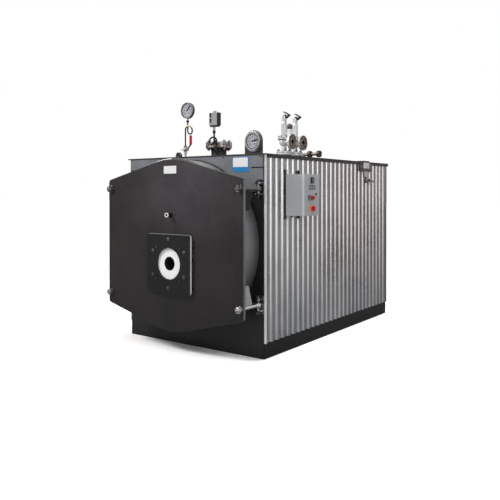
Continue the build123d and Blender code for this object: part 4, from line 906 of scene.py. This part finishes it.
def lathe(form, profile, place, direction, steps, spin=0.0):
    """Adds a turned solid from radius and height pairs in millimetres, with steps sides."""
    here = Matrix.Translation(place) @ turn_to(direction, spin)
    rings = []
    for radius, height in profile:
        if radius <= 0.0:
            rings.append([form.verts.new(here @ Vector((0.0, 0.0, height * MM)))])
            continue
        ring = []
        for index in range(steps):
            angle = 2.0 * math.pi * index / steps
            x = radius * math.cos(angle) * MM
            y = radius * math.sin(angle) * MM
            ring.append(form.verts.new(here @ Vector((x, y, height * MM))))
        rings.append(ring)
    for lower, upper in zip(rings, rings[1:]):
        for index in range(steps):
            after = (index + 1) % steps
            if len(lower) == 1:
                form.faces.new((lower[0], upper[after], upper[index]))
            elif len(upper) == 1:
                form.faces.new((lower[index], lower[after], upper[0]))
            else:
                form.faces.new((lower[index], lower[after], upper[after], upper[index]))


def disc(form, place, direction, radius, height, steps):
    """Adds a round plate."""
    lathe(form, [(0, 0), (radius, 0), (radius, height), (0, height)], place, direction, steps)


def ring(form, place, inner, outer, height, steps):
    """Adds a flat ring that faces up."""
    profile = [(inner, 0), (outer, 0), (outer, height), (inner, height)]
    lathe(form, profile, place, UPWARD, steps)


def slab(form, place, size, direction, chamfer, spin=0.0):
    """Adds a box of size millimetres, centred on its foot, with chamfered upper edges."""
    turn = Matrix.Translation(place) @ turn_to(direction, spin)
    half_x, half_y = size[0] / 2, size[1] / 2
    c = min(chamfer, size[2] / 3)
    layers = (
        (half_x, half_y, 0.0),
        (half_x, half_y, size[2] - c),
        (half_x - c, half_y - c, size[2]),
    )
    rings = []
    for x, y, z in layers:
        corners = ((-x, -y), (x, -y), (x, y), (-x, y))
        rings.append([form.verts.new(turn @ (Vector((a, b, z)) * MM)) for a, b in corners])
    form.faces.new(rings[0][::-1])
    form.faces.new(rings[-1])
    for lower, upper in zip(rings, rings[1:]):
        for index in range(4):
            after = (index + 1) % 4
            form.faces.new((lower[index], lower[after], upper[after], upper[index]))


def nut(form, place, direction, across, height, spin=0.0):
    """Adds a hexagon nut with its corners turned down."""
    r = across / 2.0 / math.cos(math.pi / 6.0)
    sides = [(0, 0), (r * 0.93, 0), (r, height * 0.12), (r, height * 0.85)]
    lathe(form, sides + [(r * 0.9, height), (0, height)], place, direction, 6, spin)


def bolt_head(form, place, direction, across, height, washer=True, spin=0.0):
    """Adds a hexagon head, over a washer if it has one."""
    base = Vector(place)
    if washer:
        r = across * 0.95
        profile = [(0, 0), (r, 0), (r, 1.2), (across * 0.9, 1.6), (0, 1.6)]
        lathe(form, profile, base, direction, 20)
        base = base + Vector(direction) * 1.6 * MM
    nut(form, base, direction, across, height, spin)


def stud(form, place, direction, radius, length):
    """Adds a stud end with its edge turned down."""
    sides = [(0, 0), (radius, 0), (radius, length - 1.0)]
    lathe(form, sides + [(radius - 1.0, length), (0, length)], place, direction, 12)


def screw(form, place, direction):
    """Adds the round head of a panel screw."""
    lathe(form, [(5.5, 0), (5.2, 1.5), (3.5, 2.8), (0, 3.2)], place, direction, 14)


def around(centre, direction, radius, count, start):
    """Points evenly round a circle, from millimetres and degrees."""
    turn = turn_to(direction)
    points = []
    for index in range(count):
        angle = math.radians(start + 360.0 * index / count)
        arm = Vector((radius * math.cos(angle), radius * math.sin(angle), 0.0)) * MM
        points.append(Vector(centre) + turn @ arm)
    return points


def bolts(form, points, direction, across, height, twist, end=None, washer=True):
    """Adds heads at points, each turned further by twist; end is a stud's radius and length."""
    for index, point in enumerate(points):
        bolt_head(form, point, direction, across, height, washer, index * twist)
        if end:
            stud(form, point, direction, *end)


def new_object(name, data):
    """Puts a new object in the scene."""
    made = bpy.data.objects.new(name, data)
    bpy.context.scene.collection.objects.link(made)
    return made


SLOT_FOR_LOOK = {slot: slot for slot in slot_of.values()}
SLOT_FOR_LOOK["gasket_black"] = "instrument_black"


def add_piece(name, data, look, body):
    """Puts a piece in the scene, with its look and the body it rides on."""
    data.materials.append(looks[look])
    made = new_object(name, data)
    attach(made, body)


def piece(name, form, look, body="boiler"):
    """Makes a mesh piece of the form, smooth except at its sharp edges."""
    bmesh.ops.recalc_face_normals(form, faces=form.faces)
    mesh = bpy.data.meshes.new(name)
    form.to_mesh(mesh)
    form.free()
    for face in mesh.polygons:
        face.use_smooth = True
    mesh.set_sharp_from_angle(angle=math.radians(35.0))
    add_piece(name, mesh, look, body)


def tube(name, points, radius, look, cyclic=False):
    """Round bar or bead along points."""
    curve = bpy.data.curves.new(name, "CURVE")
    curve.dimensions = "3D"
    curve.bevel_depth = radius * MM
    curve.bevel_resolution = 3
    line = curve.splines.new("NURBS")
    line.points.add(len(points) - 1)
    for point, target in zip(line.points, points):
        point.co = (*target, 1.0)
    line.order_u = 3
    line.use_endpoint_u = not cyclic
    line.use_cyclic_u = cyclic
    add_piece(name, curve, look, "boiler")


# Steam flange bolts and gasket
blank_low, blank_high = box_of("steam_blank_flange")
steam_middle = (blank_low + blank_high) / 2
lower_face = blank_low.z - (blank_high.z - blank_low.z)
form = bmesh.new()
for z, direction, twist, length in (
    (blank_high.z, UPWARD, 17.0, 20.0),
    (lower_face, DOWNWARD, 23.0, 21.0),
):
    points = around((steam_middle.x, steam_middle.y, z), UPWARD, 90.0, 8, 22.5)
    bolts(form, points, direction, 24.0, 13.0, twist, (8.0, length))
piece("steam_bolts", form, "bolt_pale")
form = bmesh.new()
ring(form, (steam_middle.x, steam_middle.y, blank_low.z - 1.0 * MM), 100, 108.5, 2.0, 64)
piece("steam_gasket", form, "gasket_black")

# Bolts and joints of the safety valves
cover_high = box_of("top_cover")[1]
for label in ("front", "rear"):
    low, high = box_of(label + "_safety_valve")
    axis_y = (low.y + high.y) / 2
    form = bmesh.new()
    for height, direction, circle, size, end in (
        (VALVE_FOOT + 36.0, UPWARD, (55.0, 4, 45.0), (22.0, 11.0, 19.0), (7.0, 18.0)),
        (VALVE_FOOT, DOWNWARD, (55.0, 4, 45.0), (22.0, 11.0, 11.0), (7.0, 18.0)),
        (VALVE_BONNET + 24.0, UPWARD, (50.5, 6, 30.0), (16.0, 8.0, 29.0), (5.0, 13.0)),
        (VALVE_BONNET, DOWNWARD, (50.5, 6, 30.0), (16.0, 8.0, 13.0), None),
    ):
        points = around((0.0, axis_y, cover_high.z + height * MM), UPWARD, *circle)
        bolts(form, points, direction, *size, end, washer=height < VALVE_BONNET)
    piece(label + "_valve_bolts", form, "dark_steel")
    form = bmesh.new()
    for inner, outer, height in ((60.0, 75.6, 17.2), (55.0, 62.6, 162.0)):
        level = cover_high.z + (VALVE_FOOT + height) * MM
        ring(form, (0.0, axis_y, level), inner, outer, 1.5, 40)
    piece(label + "_valve_joints", form, "gasket_black")

# Burner plate fixings
plate_low, plate_high = box_of("burner_plate")
plate_middle = (plate_low + plate_high) / 2
plate_face = Vector((plate_middle.x, plate_low.y, plate_middle.z))
ring_face = plate_face + Vector((0.0, 12.0, 0.0)) * MM
form = bmesh.new()
bolts(form, around(plate_face, FORWARD, 185.0, 6, 90.0), FORWARD, 15.0, 8.0, 31.0)
for point in around(ring_face, FORWARD, 170.0, 4, 45.0):
    stud(form, point, FORWARD, 5.0, 20.0)
piece("burner_bolts", form, "bolt_grey", "door")

# Bare plates on the upper panel and on the door
panel_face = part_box("front_panel_upper")[0][1]
door_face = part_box("door_plate")[0][1]
form = bmesh.new()
slab(form, (491.0 * MM, panel_face, 1424.0 * MM), (150.0, 111.0, 1.5), FORWARD, 0.8)
piece("blank_name_plate", form, "white_plate")
form = bmesh.new()
slab(form, (-4.5 * MM, door_face, 1387.5 * MM), (129.0, 58.0, 0.8), FORWARD, 0.3)
piece("blank_door_label", form, "white_label", "door")
form = bmesh.new()
for z in (1376.0, 1472.0):
    for x in (424.0, 558.0):
        place = (x * MM, panel_face - 1.4 * MM, z * MM)
        lathe(form, [(2.8, 0), (2.6, 0.8), (1.6, 1.5), (0, 1.8)], place, FORWARD, 12)
piece("name_plate_rivets", form, "zinc")


# Gauge faces with scale and pointer
def gauge_face(label, centre, radius, ticks, sweep, reading):
    """White dial with a dark ring painted as the bezel's shadow, a scale, bare blocks for its
    numbers and a pointer.
    """
    form = bmesh.new()
    disc(form, centre, FORWARD, radius, 0.6, 64)
    piece(label + "_face", form, "face_white")
    form = bmesh.new()
    # Dark ring round the face's rim: a painted shadow of the bezel
    inner, outer = radius * 0.92, radius + 0.5
    profile = [(inner, 0.4), (outer, 0.4), (outer, 1.0), (inner, 1.0)]
    lathe(form, profile, centre, FORWARD, 64)
    raised = centre + Vector(FORWARD) * 0.6 * MM

    def mark(angle, middle, size, spin, chamfer=0.05):
        """Adds a slab at an angle and a distance from the centre."""
        turn = math.radians(angle)
        arm = Vector((math.cos(turn), 0.0, math.sin(turn)))
        slab(form, raised + arm * middle * MM, size, FORWARD, chamfer, spin)

    for index in range(ticks + 1):
        angle = 90.0 + sweep / 2 - sweep * index / ticks
        start, wide = (0.7, 2.6) if index % 5 == 0 else (0.79, 1.2)
        inner, outer = radius * start, radius * 0.88
        mark(angle, (inner + outer) / 2, (outer - inner, wide * radius / 60.0, 0.3), angle)
        if index % 10 == 0:
            mark(angle, radius * 0.52, (radius * 0.13, radius * 0.17, 0.3), 0.0)
    mark(reading, radius * 0.36, (radius * 0.98, radius * 0.17, 1.0), reading, 0.2)
    hub = [(0, 0), (radius * 0.1, 0), (radius * 0.1, 1.6), (0, 2.2)]
    lathe(form, hub, raised, FORWARD, 20)
    piece(label + "_scale", form, "face_black")


low, high = box_of("pressure_gauge")
gauge_centre = Vector(((low.x + high.x) / 2, low.y + 5.0 * MM, high.z - 68.0 * MM))
gauge_face("pressure_gauge", gauge_centre, 61.0, 50, 270.0, 48.0)
low, high = box_of("dial_gauge")
dial_centre = Vector(((low.x + high.x) / 2, low.y + 4.0 * MM, (low.z + high.z) / 2))
gauge_face("dial_gauge", dial_centre, 57.0, 60, 280.0, 12.0)

# Pressure switch windows and screws
low, high = box_of("pressure_switch")
window_x = (low.x + high.x) / 2 - 27.0 * MM
form = bmesh.new()
for below_top in (34.0, 78.0):
    place = (window_x, low.y, high.z - below_top * MM)
    slab(form, place, (15.0, 32.0, 1.2), FORWARD, 0.4)
piece("switch_windows", form, "gasket_black")
form = bmesh.new()
for x in (low.x + 8.0 * MM, high.x - 8.0 * MM):
    for z in (high.z - 22.0 * MM, high.z - 108.0 * MM):
        lathe(form, [(4.5, 0), (4.2, 1.4), (3.2, 2.2), (0, 2.4)], (x, low.y, z), FORWARD, 16)
piece("switch_screws", form, "zinc")

# Seams and screws of the corrugated sheets
WAVE_DEPTH = 9.0
WAVE_RADIUS = ((PITCH / 4) ** 2 + WAVE_DEPTH**2) / (2 * WAVE_DEPTH)
STRIP_HALF = 16.0
STRIP_STEPS = 16
STRIP_LIFTS = (1.3, -0.6)
sheet_low, sheet_high = box_of("right_side_sheet")
crest = sheet_high.x / MM


def seam_strip(form, side, seam):
    """Adds a strip over the crest at a seam, with an outer and an inner skin."""
    skins = ([], [])
    ends = (sheet_low.z / MM + 1.0, sheet_high.z / MM - 1.0)
    for step in range(STRIP_STEPS + 1):
        along = STRIP_HALF * (2 * step / STRIP_STEPS - 1)
        wave = crest - WAVE_RADIUS + math.sqrt(WAVE_RADIUS**2 - along**2)
        for skin, lift in zip(skins, STRIP_LIFTS):
            x = side * (wave + lift)
            skin.append([form.verts.new(spot(x, seam + along, z)) for z in ends])
    for skin in skins:
        for first, second in zip(skin, skin[1:]):
            form.faces.new((first[0], second[0], second[1], first[1]))
    outer, inner = skins
    for end in (0, -1):
        form.faces.new((outer[end][0], outer[end][1], inner[end][1], inner[end][0]))


for side, outward, label in SIDES:
    form = bmesh.new()
    for seam in SEAMS:
        seam_strip(form, side, seam)
    piece(label + "_seams", form, "sheet_metal")
    form = bmesh.new()
    for seam in SEAMS:
        for step in range(6):
            place = spot(side * (crest + 1.2), seam, 190.0 + step * 248.0)
            lathe(form, [(5.0, 0), (5.0, 0.8), (3.6, 2.6), (0, 3.2)], place, outward, 12)
    for index in range(0, WAVES, 2):
        for z in (136.0, 1458.0):
            place = spot(side * crest, FIRST_CREST + index * PITCH, z)
            bolt_head(form, place, outward, 6.0, 3.2)
    piece(label + "_sheet_screws", form, "zinc")

# Screws of the cover and of the panels
form = bmesh.new()
for side, outward, _ in SIDES:
    for step in range(9):
        screw(form, spot(side * cover_high.x / MM, 60.0 + step * 254.0, 1484.0), outward)
piece("cover_screws", form, "dark_steel")
form = bmesh.new()
for x in (-672.0, -330.0, 330.0, 672.0):
    screw(form, (x * MM, panel_face, 1482.0 * MM), FORWARD)
for x in (-672.0, 672.0):
    for z in (60.0, 240.0, 620.0, 1010.0):
        screw(form, spot(x, 0.0, z), FORWARD)
piece("panel_screws", form, "panel_dark")
rear_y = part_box("rear_panel")[1][1]
form = bmesh.new()
for x in (-668.0, 668.0):
    for z in (60.0, 330.0, 620.0, 910.0, 1200.0, 1460.0):
        screw(form, (x * MM, rear_y, z * MM), REARWARD)
piece("rear_screws", form, "panel_grey")

# Smoke box cover bolts and handles
smoke_low, smoke_high = box_of("smoke_box")
smoke_face = Vector((0.0, smoke_high.y, (smoke_low.z + smoke_high.z) / 2))
form = bmesh.new()
points = around(smoke_face, REARWARD, 572.0, 24, 7.5)
bolts(form, points, REARWARD, 19.0, 10.0, 37.0, (6.0, 18.0))
piece("smoke_cover_bolts", form, "zinc")
HANDLE = ((-2, -70), (38, -70), (42, -30), (42, 30), (38, 70), (-2, 70))
for side, label in ((-1.0, "left"), (1.0, "right")):
    foot = smoke_face + Vector((side * 380.0 * MM, 0.0, 0.0))
    path = [foot + Vector((0.0, out, up)) * MM for out, up in HANDLE]
    tube(label + "_cover_handle", path, 6.0, "dark_steel")

# Feed flange bolts
feed_low, feed_high = box_of("feed_inlet")
feed_y = (feed_low.y + feed_high.y) / 2
feed_z = feed_high.z - 28.0 * MM
form = bmesh.new()
for start in (56.0, 144.0):
    for along, direction in ((start, LEFTWARD), (start + 24.0, RIGHTWARD)):
        centre = (feed_low.x + along * MM, feed_y, feed_z)
        for index, point in enumerate(around(centre, RIGHTWARD, 21.0, 4, 45.0)):
            nut(form, point, direction, 8.0, 4.0, index * 15.0)
            stud(form, point, direction, 2.6, 7.0)
piece("feed_bolts", form, "dark_steel")

# Meter window of the control box
box_low, box_high = box_of("control_box_door")
window = (box_high.x + 10.0 * MM, (box_low.y + box_high.y) / 2, box_low.z + 268.0 * MM)
form = bmesh.new()
slab(form, window, (34.0, 30.0, 1.0), RIGHTWARD, 0.3, 90.0)
piece("meter_window", form, "meter_window", "box_door")

# Sight glass pane
sight_low, sight_high = box_of("sight_glass")
sight_middle = (sight_low + sight_high) / 2
form = bmesh.new()
pane = (sight_middle.x, sight_low.y + 4.0 * MM, sight_middle.z)
disc(form, pane, FORWARD, 10.8, 1.0, 32)
piece("sight_pane", form, "sight_pane", "door")

# Fibre rope between the door and the drum
shell_low, shell_high = box_of("boiler_shell")
shell_mouth = (0.0, shell_low.y + 8.0 * MM, (shell_low.z + shell_high.z) / 2)
tube("door_rope", around(shell_mouth, FORWARD, 651.0, 72, 0.0), 7.0, "rope", cyclic=True)

# Weld beads round the four hinge plates, of half sizes LUG
LUG = Vector((25.0, 0.0, 65.0))
CORNERS = ((-1, -1), (1, -1), (1, 1), (-1, 1), (-1, -1))
BEAD_STEPS = 12
random.seed(7)
lugs_low, lugs_high = box_of("hinge_lugs")
lug_x = (lugs_high.x - LUG.x * MM, lugs_low.x + LUG.x * MM)
lug_z = (lugs_low.z + LUG.z * MM, lugs_high.z - LUG.z * MM)
for index, (x, z) in enumerate((x, z) for x in lug_x for z in lug_z):
    path = []
    for (ax, az), (bx, bz) in zip(CORNERS, CORNERS[1:]):
        for step in range(BEAD_STEPS):
            t = step / BEAD_STEPS
            across = LUG.x * (ax + (bx - ax) * t) + random.uniform(-0.5, 0.5)
            out = random.uniform(0.2, 0.8)
            up = LUG.z * (az + (bz - az) * t) + random.uniform(-0.5, 0.5)
            path.append(Vector((x + across * MM, FRONT - out * MM, z + up * MM)))
    tube("lug_weld_" + str(index), path, 2.6, "panel_dark", cyclic=True)


# Floor, light and camera
def stage_floor():
    """White floor that keeps the object's contact shadow in front and on the left; on the right
    and at the rear right corner it glows, painted light that hides the shadow there.
    """
    form = bmesh.new()
    bmesh.ops.create_grid(form, x_segments=1, y_segments=1, size=60.0)
    mesh = bpy.data.meshes.new("floor")
    form.to_mesh(mesh)
    form.free()
    made = bpy.data.materials.new("floor")
    shader, root = shader_of(made, "BSDF_PRINCIPLED")
    seen = root.node("ShaderNodeLightPath", {}, {}, "Is Camera Ray")
    place = root.node("ShaderNodeTexCoord", {}, {}, "Object")
    x, y = place.x, place.y
    outside = (x.size() - 0.72).largest(y.size() - 1.1)
    corner = x.ramp(0.5, 0.66) * y.ramp(0.9, 1.05)
    # Painted light: glow beside the right side and at the rear right corner wipes out the shadow
    # there
    white = outside.ramp(0.25, 0.65).largest(x.ramp(0.66, 0.8)).largest(corner) * seen
    feed(shader, "Base Color", seen.mix(shade(0.3), shade(1.08)))
    feed(shader, "Emission Color", white.mix(shade(0.0), shade(1.0)))
    shader.inputs["Emission Strength"].default_value = 1.0
    shader.inputs["Roughness"].default_value = 1.0
    shader.inputs["Specular IOR Level"].default_value = 0.0
    mesh.materials.append(made)
    floor = new_object("floor", mesh)


def area_light(name, place, target, size, power, warmth):
    """Area light turned to a target."""
    lamp = bpy.data.lights.new(name, "AREA")
    lamp.shape = "RECTANGLE"
    lamp.size, lamp.size_y = size
    lamp.energy = power
    lamp.color = warmth
    made = new_object(name, lamp)
    made.location = place
    made.rotation_euler = (Vector(target) - Vector(place)).to_track_quat("-Z", "Y").to_euler()


def sky():
    """White background for the camera and dim grey light for everything else."""
    world = bpy.data.worlds.new("sky")
    bpy.context.scene.world = world
    background, root = shader_of(world, "BACKGROUND")
    seen = root.node("ShaderNodeLightPath", {}, {}, "Is Camera Ray")
    toward = root.node("ShaderNodeTexCoord", {}, {}, "Generated")
    above = toward.z.ramp(-0.1, 1.0, 0.0, 0.4)
    left_front = toward.dot((-0.66, -0.74, 0.12)).ramp(0.75, 1.0, 0.0, 0.35)
    rear_right = toward.dot((0.62, 0.78, 0.0)).ramp(0.2, 1.0, 0.0, 0.3)
    right_front = toward.dot((0.88, -0.475, 0.0)).ramp(0.88, 0.97, 0.0, 0.75)
    level = above + left_front + rear_right + right_front
    soft = level.mix(tint(0.14, 0.14, 0.145), tint(1.25, 1.25, 1.3))
    feed(background, "Color", seen.mix(soft, shade(1.0)))


stage_floor()
sky()
area_light("key", (-4.2, -5.2, 6.0), (0.0, -0.3, 0.9), (2.0, 2.0), 480.0, (1.0, 0.98, 0.95))
area_light("strip", (5.4, -3.4, 1.8), (0.7, -0.2, 1.0), (1.6, 4.4), 36.0, (1.0, 0.99, 0.98))
area_light("pool", (3.4, -2.6, 3.2), (3.4, -2.6, 0.0), (2.0, 2.0), 55.0, (1.0, 1.0, 1.0))
area_light("top", (1.0, 0.5, 6.5), (0.2, 0.0, 1.0), (3.0, 4.0), 200.0, (1.0, 1.0, 1.0))

scene = bpy.context.scene
scene.view_settings.view_transform = "Standard"
lens = bpy.data.cameras.new("camera")
lens.sensor_width = 36.0
lens.lens = 44.2
lens.shift_y = -0.118
camera = new_object("camera", lens)
camera.location = (3.245, -4.727, 1.226)
camera.rotation_euler = (math.radians(90.0), 0.0, math.radians(36.2))
scene.camera = camera
